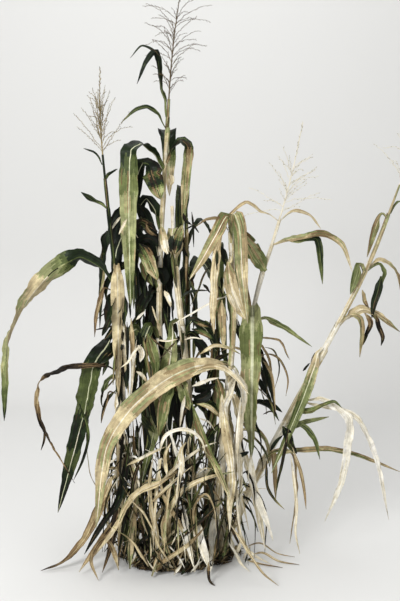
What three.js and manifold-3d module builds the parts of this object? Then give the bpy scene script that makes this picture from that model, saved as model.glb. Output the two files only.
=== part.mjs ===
// A tillering maize plant, 1.8 m tall: nine culms from one crown, four tassels, long arching and hanging
// leaf blades, and a tangle of low basal leaves. Millimetres, +Z up, the ground at z = 0, +Y away from the
// viewer.
import * as THREE from "three";
import { mergeVertices } from "three/addons/utils/BufferGeometryUtils.js";
import Module from "manifold-3d";

const wasm = await Module();
wasm.setup();

// Driving dimensions
const CLEARANCE = 0.3; // left between a blade, tassel or stem and what carries it
const CULM_SIDES = 6;
const JOINT_SWELL = 1.16; // a culm joint's radius over the culm's own
const JOINT_HALF = 7; // half the length of the swelling at a joint
const FLARE_HEIGHT = 55; // the foot of a culm widens over this height
const FLARE = 0.45; // by this share of its radius
const CROWN = { across: 192, deep: 126, height: 30, rimHeight: 7, sides: 20, shoulder: 0.88 };
const BLADE_THICKNESS_SHARE = 1 / 80; // a blade's thickness over its length
const BLADE_LEAST_THICKNESS = 3.6;
const BLADE_STATION = 58; // length of blade between two sections
const BLADE_KNEE = [0.42, 0.62]; // where a blade stands between its collar and first mark: out, up
const BLADE_TURN = 37; // degrees that a blade turns, at most, between two sections
const BLADE_LEAST_STEP = 0.22; // an edge's way from one section to the next, at least, over the midrib's
const SLEEVE_WALL = 2.2; // leaf sheath round a culm, where one carries several blades
const TASSEL_SPIKE_RADIUS = [3.2, 1.6];
const TASSEL_BRANCH_RADIUS = [1.9, 1.1];
const TASSEL_BRANCH_SIDES = 3;
const SMALLEST_FEATURE = 0.05; // slivers that a cut leaves under this size are closed

// Culms: foot on the crown, marks it passes on the way, and head at the foot of the tassel or of the last
// leaf. Radii at foot and head. Joints are counted from foot to head.
const culms = {
  left_culm: { foot: [-144, -34], marks: [[-176, -42, 300], [-175, -46, 716]], head: [-223, -46, 1284],
    radius: [11, 3.4], joints: 7 },
  tall_culm: { foot: [-26, 4], marks: [[-50, 6, 480], [-56, 6, 870]], head: [-24, 10, 1455],
    radius: [13, 4.4], joints: 8 },
  second_culm: { foot: [62, -30], marks: [[30, -38, 610], [-4, -36, 934]], head: [-14, -36, 1130],
    radius: [11, 5], joints: 6 },
  rear_culm: { foot: [-70, 62], marks: [[-116, 112, 480]], head: [-140, 124, 1010], radius: [10, 4.2],
    joints: 6 },
  back_culm: { foot: [36, 78], marks: [[32, 126, 600]], head: [26, 132, 1135], radius: [10, 4], joints: 6 },
  pale_culm: { foot: [108, -56], marks: [[154, -66, 520], [174, -68, 780]], head: [162, -70, 1086],
    radius: [10, 4.6], joints: 6 },
  slim_culm: { foot: [78, 26], marks: [[116, 30, 444], [128, 30, 700]], head: [121, 30, 960], radius: [9, 4],
    joints: 5 },
  right_culm: { foot: [132, -6], marks: [[200, 2, 460], [237, 4, 795]], head: [322, 4, 1101], radius: [10, 3],
    joints: 6 },
  leaning_culm: { foot: [142, 38], marks: [[250, 48, 240], [426, 50, 584], [605, 52, 939]],
    head: [700, 56, 1195], radius: [12, 3.2], joints: 7 },
};

// A blade: at is the height of its collar, heading its compass direction (0 is +X, 90 is +Y). Its marks, the
// last of them the tip, are [distance out from the culm, height above the ground]. roll turns the blade about
// its own length, at even steps from collar to tip. split cuts a long blade in two at a share of its length.
const nodes = {
  left_top_leaves: { on: "left_culm", blades: [
    { at: 1254, heading: 180, marks: [[30, 1292], [60, 1303]], width: 14, roll: [-50, -60, -60] },
    { at: 1212, heading: 350, marks: [[18, 1229], [38, 1241]], width: 24, roll: [40, 60, 70] },
    { at: 1122, heading: 182, marks: [[39, 1142], [82, 1172]], width: 26, roll: [-40, -60, -70] },
  ] },
  left_arch: { on: "left_culm", split: 0.36, blades: [
    { at: 890, heading: 185, marks: [[109, 976], [195, 930], [272, 842], [332, 716], [350, 468]], width: 64,
      roll: [10, 44, 74, 46, 8, -34, -62, -76] },
  ] },
  left_drop: { on: "left_culm", blades: [
    { at: 752, heading: 170, marks: [[26, 718], [84, 638], [112, 505], [158, 340], [212, 149]], width: 66,
      roll: [-60, -78, -70, -86, -84] },
  ] },
  left_hook: { on: "left_culm", blades: [
    { at: 614, heading: 190, marks: [[65, 640], [170, 634], [252, 592], [254, 480], [150, 268]], width: 26,
      roll: [-20, -34, -58, -74, -84] },
  ] },
  left_short: { on: "left_culm", blades: [
    { at: 868, heading: 200, marks: [[35, 878], [64, 806], [72, 730]], width: 18, roll: [-30, -50, -60] },
  ] },
  left_wrap: { on: "left_culm", blades: [
    { at: 936, heading: 288, marks: [[24, 952], [36, 926], [38, 780], [34, 545]], width: 44,
      roll: [0, 6, -6, 0] },
  ] },
  left_inner: { on: "left_culm", blades: [
    { at: 685, heading: 44, marks: [[64, 745], [116, 673], [146, 511]], width: 44, roll: [20, 40, 46, 50] },
  ] },
  left_floor_leaves: { on: "left_culm", blades: [
    { at: 545, heading: 186, marks: [[31, 553], [50, 509], [63, 456]], width: 14, roll: [-20, -40, -50] },
    { at: 298, heading: 200, marks: [[30, 270], [62, 205], [125, 86], [190, 26], [262, 7]], width: 34,
      roll: [-40, -50, -46, -30, -12] },
    { at: 176, heading: 220, marks: [[54, 122], [126, 60], [177, 12]], width: 28, roll: [-20, -30, -16] },
    { at: 206, heading: 240, marks: [[38, 160], [84, 60], [122, 8]], width: 26, roll: [-10, -14, 0] },
    { at: 236, heading: 286, marks: [[22, 244], [42, 204], [52, 40]], width: 34, roll: [0, 12, 22] },
  ] },

  broad_hang: { on: "tall_culm", blades: [
    { at: 1240, heading: 217, marks: [[86, 1316], [124, 1298], [133, 1140], [130, 814]], width: 64,
      roll: [0, -20, -48, -50, -50] },
  ] },
  tall_left: { on: "tall_culm", blades: [
    { at: 1172, heading: 200, marks: [[64, 1262], [84, 1222], [94, 1102]], width: 56,
      roll: [-40, -64, -66, -70] },
  ] },
  tall_right: { on: "tall_culm", blades: [
    { at: 1258, heading: 346, marks: [[50, 1330], [72, 1312], [64, 1194], [56, 1060]], width: 38,
      roll: [20, 44, 70, 78] },
  ] },
  tall_top_leaf: { on: "tall_culm", blades: [
    { at: 1368, heading: 184, marks: [[61, 1430], [98, 1421], [142, 1382]], width: 18,
      roll: [-40, -60, -76] },
  ] },
  flag_leaf: { on: "tall_culm", blades: [
    { at: 1400, heading: 180, marks: [[20, 1480], [28, 1560], [38, 1598], [66, 1566], [94, 1500]], width: 28,
      roll: [0, -10, -40, -74, -80] },
    { at: 1400, heading: 172, marks: [[22, 1486], [30, 1566], [46, 1602], [80, 1616], [116, 1580]], width: 16,
      roll: [0, -10, -40, -70, -80] },
  ] },
  tall_back: { on: "tall_culm", blades: [
    { at: 1296, heading: 88, marks: [[40, 1354], [80, 1366], [128, 1300], [150, 1160]], width: 58,
      roll: [0, 0, 0] },
  ] },
  tall_mid: { on: "tall_culm", blades: [
    { at: 1056, heading: 186, marks: [[46, 1152], [66, 1128], [60, 1068]], width: 42, roll: [-40, -64, -76] },
  ] },
  tall_low: { on: "tall_culm", blades: [
    { at: 872, heading: 180, marks: [[98, 1070], [133, 993], [147, 867]], width: 48,
      roll: [-50, -66, -78, -80] },
  ] },
  tall_drop: { on: "tall_culm", blades: [
    { at: 716, heading: 214, marks: [[32, 756], [56, 710], [64, 566]], width: 44, roll: [-20, -40, -52] },
    { at: 740, heading: 164, marks: [[24, 839], [58, 836], [74, 748]], width: 40, roll: [-40, -60, -70] },
    { at: 689, heading: 2, marks: [[47, 711], [104, 712], [145, 699]], width: 12, roll: [20, 40, 50] },
  ] },

  rear_leaves: { on: "rear_culm", blades: [
    { at: 970, heading: 176, marks: [[20, 1100], [84, 1034], [106, 950], [121, 723]], width: 32,
      roll: [-40, -60, -70] },
    { at: 960, heading: 96, marks: [[70, 1082], [170, 1010], [250, 760]], width: 44, roll: [0, 0, 10] },
    { at: 900, heading: 196, marks: [[25, 1010], [52, 985], [60, 850]], width: 34, roll: [-30, -50, -56] },
    { at: 940, heading: 340, marks: [[31, 1056], [65, 1020], [88, 880]], width: 48, roll: [20, 44, 50] },
  ] },
  rear_low_leaves: { on: "rear_culm", blades: [
    { at: 600, heading: 112, marks: [[90, 716], [210, 610], [280, 330]], width: 48, roll: [0, 0, -14, -20] },
    { at: 540, heading: 70, marks: [[60, 610], [140, 480], [180, 210]], width: 42, roll: [0, 0, 12] },
  ] },
  back_leaves: { on: "back_culm", blades: [
    { at: 1090, heading: 98, marks: [[80, 1190], [180, 1110], [230, 880]], width: 40, roll: [0, 6, 12] },
    { at: 1000, heading: 30, marks: [[56, 1080], [110, 1000], [130, 800]], width: 38, roll: [0, 10, 20] },
    { at: 840, heading: 62, marks: [[90, 950], [220, 840], [290, 560]], width: 50, roll: [0, 0, -10, -16] },
    { at: 930, heading: 190, marks: [[29, 1017], [60, 944], [62, 672]], width: 48, roll: [-30, -46, -40] },
  ] },
  back_low_leaves: { on: "back_culm", blades: [
    { at: 560, heading: 108, marks: [[80, 660], [190, 540], [250, 240]], width: 48, roll: [0, 4, 10] },
    { at: 500, heading: 40, marks: [[70, 590], [160, 460], [200, 200]], width: 42, roll: [0, 0, -10] },
    { at: 470, heading: 205, marks: [[45, 537], [73, 452], [84, 300]], width: 44, roll: [-20, -40, -40] },
  ] },

  second_funnel: { on: "second_culm", blades: [
    { at: 948, heading: 262, marks: [[26, 1030], [40, 1062], [60, 1040]], width: 60, roll: [0, 0, 0] },
  ] },
  centre_drop: { on: "second_culm", blades: [
    { at: 780, heading: 204, marks: [[18, 770], [40, 640], [75, 500], [141, 250]], width: 50,
      roll: [-30, -58, -66, -70] },
    { at: 728, heading: 8, marks: [[28, 775], [72, 746], [106, 676]], width: 44, roll: [20, 46, 60] },
    { at: 493, heading: 16, marks: [[47, 518], [94, 483], [125, 400]], width: 30, roll: [20, 46, 60] },
  ] },

  pale_top_leaves: { on: "pale_culm", blades: [
    { at: 1056, heading: 176, marks: [[40, 1092], [76, 1088], [104, 1068]], width: 15,
      roll: [-30, -50, -60] },
    { at: 996, heading: 198, marks: [[14, 1100], [54, 1036], [98, 963], [134, 910]], width: 46,
      roll: [-50, -60, -64, -64] },
    { at: 1016, heading: 312, marks: [[14, 1106], [34, 1070], [52, 900], [74, 778]], width: 46,
      roll: [20, 30, 36, 40] },
    { at: 866, heading: 184, marks: [[52, 845], [119, 808], [184, 772]], width: 13, roll: [-30, -46, -50] },
  ] },
  pale_drops: { on: "pale_culm", blades: [
    { at: 540, heading: 258, marks: [[24, 568], [46, 540], [62, 420], [68, 236]], width: 30,
      roll: [0, 14, 20] },
    { at: 526, heading: 306, marks: [[24, 552], [48, 520], [64, 330], [68, 112]], width: 36,
      roll: [0, -20, -30] },
    { at: 322, heading: 206, marks: [[46, 306], [138, 252], [180, 182], [170, 56]], width: 26,
      roll: [-20, -50, -64, -70] },
    { at: 150, heading: 258, marks: [[26, 148], [52, 96], [64, 30], [104, 6]], width: 26, roll: [0, 10, 20] },
  ] },
  front_arch: { on: "pale_culm", split: 0.46, blades: [
    { at: 606, heading: 198, marks: [[24, 642], [118, 642], [212, 604], [314, 526], [386, 420], [424, 169]],
      width: 68,
      roll: [-20, -60, -68, -62, -70, -74] },
  ] },
  slim_leaves: { on: "slim_culm", blades: [
    { at: 930, heading: 82, marks: [[40, 1010], [90, 960], [120, 760]], width: 34, roll: [0, 0, 8] },
    { at: 800, heading: 10, marks: [[26, 850], [40, 800], [44, 650]], width: 24, roll: [20, 50, 60] },
    { at: 700, heading: 200, marks: [[40, 760], [72, 730], [84, 640]], width: 22, roll: [-30, -56, -60] },
    { at: 650, heading: 176, marks: [[32, 673], [54, 666], [78, 629]], width: 13, roll: [-30, -46, -50] },
    { at: 666, heading: 352, marks: [[45, 682], [72, 676], [100, 648]], width: 13, roll: [30, 46, 50] },
  ] },

  right_top_leaves: { on: "right_culm", blades: [
    { at: 1084, heading: 184, marks: [[60, 1112], [103, 1141], [152, 1102], [211, 975]], width: 15,
      roll: [-30, -50, -60] },
    { at: 1084, heading: 4, marks: [[53, 1114], [95, 1101], [132, 1058]], width: 16, roll: [30, 50, 60] },
    { at: 1008, heading: 352, marks: [[89, 1031], [157, 1044], [216, 1012], [250, 927]], width: 28,
      roll: [20, 46, 60, 66] },
    { at: 1008, heading: 352, marks: [[89, 1026], [138, 1028], [152, 957], [159, 888]], width: 26,
      roll: [20, 46, 70, 80] },
  ] },
  right_left: { on: "right_culm", blades: [
    { at: 922, heading: 166, marks: [[36, 988], [68, 1028], [86, 980], [84, 826]], width: 60,
      roll: [-50, -66, -76, -80] },
  ] },
  right_middle_leaves: { on: "right_culm", blades: [
    { at: 764, heading: 2, marks: [[44, 776], [114, 741], [194, 686]], width: 25, roll: [20, 46, 50] },
    { at: 690, heading: 352, marks: [[50, 716], [100, 708], [132, 650]], width: 12, roll: [20, 30, 40] },
    { at: 672, heading: 336, marks: [[44, 696], [74, 650], [84, 536]], width: 12, roll: [20, 30, 40] },
    { at: 650, heading: 322, marks: [[50, 668], [94, 610], [112, 494]], width: 12, roll: [20, 30, 40] },
    { at: 630, heading: 8, marks: [[41, 625], [67, 541], [103, 460]], width: 20, roll: [20, 50, 50] },
    { at: 477, heading: 355, marks: [[57, 510], [92, 496], [121, 450]], width: 22, roll: [20, 50, 60] },
  ] },
  right_front: { on: "right_culm", blades: [
    { at: 790, heading: 267, marks: [[30, 820], [62, 786], [82, 640], [86, 350]], width: 72,
      roll: [0, 0, 0] },
  ] },
  right_drop: { on: "right_culm", blades: [
    { at: 340, heading: 322, marks: [[26, 350], [58, 290], [120, 50]], width: 32, roll: [10, 30, 40] },
    { at: 140, heading: 330, marks: [[32, 120], [83, 34], [172, 5]], width: 18, roll: [0, 20, 10] },
    { at: 120, heading: 300, marks: [[40, 62], [96, 14], [150, 5]], width: 15, roll: [0, 10, 10] },
  ] },

  leaning_blade: { on: "leaning_culm", blades: [
    { at: 676, heading: 206, marks: [[20, 660], [90, 500], [196, 288]], width: 46,
      roll: [-40, -66, -70, -74] },
  ] },
  leaning_long_leaves: { on: "leaning_culm", blades: [
    { at: 502, heading: 345, marks: [[81, 508], [145, 474], [167, 450], [150, 252], [97, 107]], width: 34,
      roll: [10, 30, 60, 72, 76] },
    { at: 502, heading: 354, marks: [[128, 480], [196, 446], [258, 317], [302, 116]], width: 25,
      roll: [10, 40, 60, 66] },
  ] },
  leaning_top_leaves: { on: "leaning_culm", blades: [
    { at: 748, heading: 0, marks: [[38, 775], [76, 798], [112, 790], [200, 728]], width: 40,
      roll: [10, 40, 50] },
    { at: 756, heading: 336, marks: [[40, 784], [66, 776], [75, 735], [70, 650]], width: 24,
      roll: [10, 40, 60] },
    { at: 920, heading: 200, marks: [[16, 944], [30, 914], [52, 850]], width: 36, roll: [-30, -56, -60] },
    { at: 924, heading: 0, marks: [[40, 944], [56, 920], [42, 874], [18, 792]], width: 27,
      roll: [20, 50, 70] },
    { at: 924, heading: 12, marks: [[50, 956], [96, 930], [140, 800]], width: 25, roll: [20, 50, 60] },
    { at: 1092, heading: 196, marks: [[14, 1104], [36, 1072], [68, 968]], width: 24, roll: [-30, -56, -60] },
    { at: 1104, heading: 12, marks: [[34, 1142], [66, 1116], [96, 1000]], width: 20, roll: [0, 20, 40] },
  ] },
  leaning_low_leaves: { on: "leaning_culm", blades: [
    { at: 312, heading: 0, marks: [[104, 336], [201, 342], [298, 322], [441, 265]], width: 23,
      roll: [20, 40, 50, 50] },
    { at: 395, heading: 5, marks: [[42, 414], [88, 430], [164, 446]], width: 23, roll: [20, 50, 50] },
    { at: 436, heading: 340, marks: [[85, 477], [156, 513], [182, 494]], width: 24, roll: [10, 40, 70] },
    { at: 418, heading: 318, marks: [[50, 436], [88, 428], [124, 398], [146, 337]], width: 25,
      roll: [10, 20, 30] },
    { at: 335, heading: 14, marks: [[50, 342], [80, 315], [94, 202], [74, 14]], width: 21,
      roll: [10, 40, 50] },
    { at: 330, heading: 292, marks: [[20, 346], [42, 300], [54, 190]], width: 21, roll: [0, 10, 20] },
  ] },
};

// Tassels: a central spike that carries on from the culm's head, its tip drawn aside by bend, and branches
// round its lower part, up to the share rise of its length. Branch lengths and spreads: first the highest,
// then the lowest. arch is how much a branch's tip droops.
const tassels = {
  left_tassel: { on: "left_culm", length: 258, bend: [14, 0], rise: 0.5, branches: 13,
    branchLength: [90, 150], spread: [12, 32], arch: 0.12, seed: 11 },
  tall_tassel: { on: "tall_culm", length: 372, bend: [30, 0], rise: 0.64, branches: 15,
    branchLength: [150, 200], spread: [46, 34], arch: 0.66, seed: 5 },
  right_tassel: { on: "right_culm", length: 290, bend: [0, 0], rise: 0.5, branches: 9,
    branchLength: [90, 170], spread: [40, 58], arch: 0.2, seed: 23 },
  leaning_tassel: { on: "leaning_culm", length: 270, bend: [0, 0], rise: 0.5, branches: 9,
    branchLength: [90, 170], spread: [22, 50], arch: 0.3, seed: 37 },
};

// Low leaves: each mass is a short tiller on the crown, with leaves inside its own sector. least is the
// lowest that a leaf may hang above the ground.
const masses = {
  front_mass: { foot: [-22, -80], lean: 262, height: 360, sector: [186, 356], leaves: 12, reach: [90, 190],
    least: 60, seed: 3 },
  front_left_mass: { foot: [-92, -60], lean: 214, height: 400,
    sector: [160, 300], leaves: 10, reach: [60, 130], least: 50, seed: 8 },
  left_mass: { foot: [-142, 18], lean: 172, height: 300, sector: [120, 220], leaves: 7, reach: [40, 90],
    least: 8, seed: 13 },
  rear_left_mass: { foot: [-106, 56], lean: 116, height: 380, sector: [40, 170], leaves: 9, reach: [80, 160],
    least: 8, seed: 21 },
  rear_mass: { foot: [-16, 92], lean: 92, height: 400, sector: [10, 170], leaves: 9, reach: [90, 180],
    least: 8, seed: 34 },
  rear_right_mass: { foot: [90, 70], lean: 52, height: 380, sector: [0, 130], leaves: 9, reach: [80, 160],
    least: 8, seed: 55 },
  middle_mass: { foot: [36, -78], lean: 286, height: 420, sector: [200, 350], leaves: 11, reach: [80, 180],
    least: 70, seed: 89 },
  front_right_mass: { foot: [146, -36], lean: 326, height: 280,
    sector: [280, 372], leaves: 8, reach: [60, 140], least: 20, seed: 61 },
};
const MASS_STEM_RADIUS = [8, 2.6];
const MASS_STEM_LEAN = 0.2; // how far the tiller's head stands out, over its height
const MASS_LEAF_WIDTH = [14, 28];
const MASS_STATION = 80;
const MASS_DEPTH_SHARE = 0.5; // a low leaf's reach towards or away from the viewer, over that sideways

const rad = THREE.MathUtils.degToRad;
const mix = THREE.MathUtils.lerp;
const smooth = THREE.MathUtils.smoothstep;

// Numbers between 0 and 1 that are the same on each run.
function seeded(seed) {
  let state = seed * 7919 + 17;
  return () => {
    state = (Math.imul(state, 1664525) + 1013904223) >>> 0;
    return state / 4294967296;
  };
}

// A closed skin over rings of points: each ring has the same number of points, in the same order. The sides
// in turned are split along their other diagonal, so that both faces of a twisted blade bend alike.
function loft(rings, turned = []) {
  const count = rings[0].length;
  const position = rings.flatMap((ring) => ring.flatMap((p) => [p.x, p.y, p.z]));
  const index = [];
  for (let r = 0; r + 1 < rings.length; r++) {
    for (let i = 0; i < count; i++) {
      const a = r * count + i;
      const b = r * count + ((i + 1) % count);
      if (turned.includes(i)) index.push(a, b, a + count, b, b + count, a + count);
      else index.push(a, b, b + count, a, b + count, a + count);
    }
  }
  const last = (rings.length - 1) * count;
  for (let i = 1; i + 1 < count; i++) {
    index.push(0, i + 1, i, last, last + i, last + i + 1);
  }
  const geometry = new THREE.BufferGeometry();
  geometry.setAttribute("position", new THREE.Float32BufferAttribute(position, 3));
  geometry.setIndex(index);
  return geometry;
}

function solid(geometry) {
  const bare = geometry.clone();
  bare.deleteAttribute("normal");
  bare.deleteAttribute("uv");
  const merged = mergeVertices(bare, 1e-4);
  const mesh = new wasm.Mesh({
    numProp: 3,
    vertProperties: merged.attributes.position.array,
    triVerts: new Uint32Array(merged.index.array),
  });
  const made = new wasm.Manifold(mesh);
  return made.volume() < 0 ? solid(flipped(merged)) : made;
}

function flipped(geometry) {
  const turned = geometry.clone();
  const index = turned.index.array;
  for (let i = 0; i < index.length; i += 3) {
    [index[i + 1], index[i + 2]] = [index[i + 2], index[i + 1]];
  }
  return turned;
}

// The largest piece of a solid: loose scraps that a cut leaves are dropped.
function largest(made) {
  const pieces = made.decompose();
  return pieces.reduce((best, piece) => (piece.volume() > best.volume() ? piece : best));
}

function geometryOf(made) {
  const mesh = largest(made.simplify(SMALLEST_FEATURE)).getMesh();
  const position = new Float32Array(mesh.numVert * 3);
  for (let i = 0; i < mesh.numVert; i++) {
    position.set(mesh.vertProperties.subarray(i * mesh.numProp, i * mesh.numProp + 3), i * 3);
  }
  const geometry = new THREE.BufferGeometry();
  geometry.setAttribute("position", new THREE.BufferAttribute(position, 3));
  geometry.setIndex(new THREE.BufferAttribute(new Uint32Array(mesh.triVerts), 1));
  return geometry;
}

function culmCurve(culm) {
  const foot = new THREE.Vector3(culm.foot[0], culm.foot[1], 0);
  const marks = culm.marks.map((mark) => new THREE.Vector3(...mark));
  return new THREE.CatmullRomCurve3([foot, ...marks, new THREE.Vector3(...culm.head)], false, "centripetal");
}

// Where along a culm, from 0 to 1, it reaches a height.
function atHeight(curve, height) {
  let low = 0;
  let high = 1;
  for (let step = 0; step < 30; step++) {
    const middle = (low + high) / 2;
    if (curve.getPoint(middle).z < height) low = middle;
    else high = middle;
  }
  return (low + high) / 2;
}

// A ring of a culm or stem, level with the others, so that neighbours on one curve have the same facets.
function ring(curve, t, radius, sides) {
  const centre = curve.getPoint(t);
  const along = curve.getTangent(t);
  const side = new THREE.Vector3(0, 1, 0).cross(along).normalize();
  const front = along.clone().cross(side);
  return Array.from({ length: sides }, (_, i) => {
    const turn = (2 * Math.PI * i) / sides;
    return centre.clone()
      .addScaledVector(side, radius * Math.cos(turn))
      .addScaledVector(front, radius * Math.sin(turn));
  });
}

function culmRadius(culm, curve, t) {
  const height = curve.getPoint(t).z;
  const flare = 1 + FLARE * (1 - smooth(height, 0, FLARE_HEIGHT));
  return mix(culm.radius[0], culm.radius[1], t) * flare;
}

// A culm from under the ground's level to its head, its joints swollen. more is added to the radius.
function culmSolid(culm, more = 0) {
  const curve = culmCurve(culm);
  const rings = [];
  const put = (t, swell) => rings.push(ring(curve, t, culmRadius(culm, curve, t) * swell + more, CULM_SIDES));
  const half = JOINT_HALF / curve.getLength();
  put(0, 1);
  put(atHeight(curve, FLARE_HEIGHT), 1);
  for (let joint = 1; joint < culm.joints; joint++) {
    const t = 0.04 + (0.96 * joint) / culm.joints;
    put(t - half, 1);
    put(t, JOINT_SWELL);
  }
  put(1, 1);
  return solid(loft(rings));
}

// A blade's line, from inside the culm at its collar past its marks to the tip.
function bladeCurve(curve, blade) {
  const collar = curve.getPoint(atHeight(curve, blade.at));
  const [kneeOut, kneeUp] = BLADE_KNEE;
  const [firstOut, firstHeight] = blade.marks[0];
  const knee = [firstOut * kneeOut, mix(blade.at, firstHeight, kneeUp)];
  const heading = rad(blade.heading);
  const points = [knee, ...blade.marks].map(([out, height]) => (
    new THREE.Vector3(collar.x + out * Math.cos(heading), collar.y + out * Math.sin(heading), height)
  ));
  return new THREE.CatmullRomCurve3([collar, ...points], false, "centripetal");
}

// Evenly spaced values, read smoothly between them.
function read(values, s) {
  const place = s * (values.length - 1);
  const i = Math.min(Math.floor(place), values.length - 2);
  return mix(values[i], values[i + 1], smooth(place - i, 0, 1));
}

// A blade's width along its length, over its greatest width.
function bladeShape(s) {
  return (0.5 + 0.5 * smooth(s, 0, 0.28)) * Math.pow(Math.max(1 - Math.pow(s, 2.4), 0), 0.8);
}

// The shares of a blade's length that get a section: evenly spaced, and closer where the blade turns sharply.
function stations(path, from, to, station) {
  const length = path.getLength();
  const even = (to - from) / Math.max(4, Math.round((length * (to - from)) / station));
  const shares = [from];
  let along = path.getTangentAt(from);
  for (let s = from + 2 / length; s < to - even * 0.4; s += 2 / length) {
    const now = path.getTangentAt(s);
    if (s - shares.at(-1) < even && along.angleTo(now) < rad(BLADE_TURN)) continue;
    shares.push(s);
    along = now;
  }
  return [...shares, to];
}

// One blade as a thin closed wedge with a keel under its midrib, from share from to share to of its length.
function bladeSolid(curve, blade, from = 0, to = 1, station = BLADE_STATION) {
  const path = bladeCurve(curve, blade);
  const thick = Math.max(path.getLength() * BLADE_THICKNESS_SHARE, BLADE_LEAST_THICKNESS);
  const heading = rad(blade.heading);
  const sections = [];
  for (const s of stations(path, from, to, station)) {
    const centre = path.getPointAt(s);
    const along = path.getTangentAt(s);
    const level = new THREE.Vector3(-Math.sin(heading), Math.cos(heading), 0);
    level.addScaledVector(along, -level.dot(along)).normalize();
    const side = level.applyAxisAngle(along, rad(read(blade.roll, s)));
    const face = along.clone().cross(side).normalize();
    const half = Math.max((blade.width / 2) * bladeShape(s), 1.2);
    const body = thick * mix(0.5, 0.25, smooth(s, 0.75, 1));
    sections.push({ centre, along, side, face, body, half: [half, -half] });
  }
  drawInEdges(sections);
  return solid(loft(sections.map(({ centre, side, face, body, half }) => [
    centre.clone().addScaledVector(side, half[0]).addScaledVector(face, body),
    centre.clone().addScaledVector(side, half[1]).addScaledVector(face, body),
    centre.clone().addScaledVector(face, -body),
  ]), [1, 2]));
}

// Where a blade bends sharply in its own plane, draws its inner edge in, so that no section crosses the next.
function drawInEdges(sections) {
  for (let pass = 0; pass < 40; pass++) {
    for (let i = 0; i + 1 < sections.length; i++) {
      const [a, b] = [sections[i], sections[i + 1]];
      const step = b.centre.clone().sub(a.centre);
      const least = step.length() * BLADE_LEAST_STEP;
      for (const edge of [0, 1]) {
        const way = step.clone().addScaledVector(b.side, b.half[edge]).addScaledVector(a.side, -a.half[edge]);
        if (Math.min(way.dot(a.along), way.dot(b.along)) >= least) continue;
        a.half[edge] *= 0.92;
        b.half[edge] *= 0.92;
      }
    }
  }
}

// A stretch of leaf sheath round a culm, which several blades grow from.
function sleeveSolid(culm, low, high) {
  const curve = culmCurve(culm);
  const steps = Math.max(2, Math.round((high - low) / 90));
  const rings = [];
  for (let i = 0; i <= steps; i++) {
    const t = atHeight(curve, mix(low, high, i / steps));
    rings.push(ring(curve, t, culmRadius(culm, curve, t) * JOINT_SWELL + SLEEVE_WALL, CULM_SIDES));
  }
  return solid(loft(rings));
}

// A slim tapering stem along a curve.
function stemSolid(curve, radii, sides, steps) {
  const rings = [];
  for (let i = 0; i <= steps; i++) {
    rings.push(ring(curve, i / steps, mix(radii[0], radii[1], i / steps), sides));
  }
  return solid(loft(rings));
}

// A tassel: the spike, and branches whose roots are sunk in it. A branch that would touch a leaf is left out.
function tasselSolid(tassel, culm, standing) {
  const stalk = culmCurve(culm);
  const foot = stalk.getPoint(1);
  const axis = stalk.getTangent(1);
  const lean = axis.clone().lerp(new THREE.Vector3(0, 0, 1), 0.35).normalize();
  const spike = new THREE.QuadraticBezierCurve3(
    foot.clone().addScaledVector(axis, CLEARANCE),
    foot.clone().addScaledVector(axis, tassel.length * 0.5),
    foot.clone().addScaledVector(axis, tassel.length * 0.5).addScaledVector(lean, tassel.length * 0.5)
      .add(new THREE.Vector3(tassel.bend[0], tassel.bend[1], 0)),
  );
  const random = seeded(tassel.seed);
  const parts = [stemSolid(spike, TASSEL_SPIKE_RADIUS, 5, 4)];
  for (let i = 0; i < tassel.branches; i++) {
    const share = i / (tassel.branches - 1);
    const root = spike.getPoint(mix(0.04, tassel.rise, share));
    const turn = i * 2.39996 + random() * 0.6;
    const spread = rad(mix(tassel.spread[1], tassel.spread[0], share) * mix(0.85, 1.1, random()));
    const length = mix(tassel.branchLength[1], tassel.branchLength[0], share) * mix(0.82, 1.05, random());
    const flat = new THREE.Vector3(Math.cos(turn), Math.sin(turn), 0);
    const way = axis.clone().multiplyScalar(Math.cos(spread)).addScaledVector(flat, Math.sin(spread));
    way.normalize();
    const knee = root.clone().addScaledVector(way, length * 0.55);
    const end = knee.clone().addScaledVector(way, length * 0.45);
    end.addScaledVector(flat, length * tassel.arch * 0.35);
    end.z -= length * tassel.arch * 0.45;
    const bow = new THREE.QuadraticBezierCurve3(root, knee, end);
    const branch = stemSolid(bow, TASSEL_BRANCH_RADIUS, TASSEL_BRANCH_SIDES, 2);
    if (standing.every((other) => branch.intersect(other).volume() === 0)) parts.push(branch);
  }
  return wasm.Manifold.union(parts);
}

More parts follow.
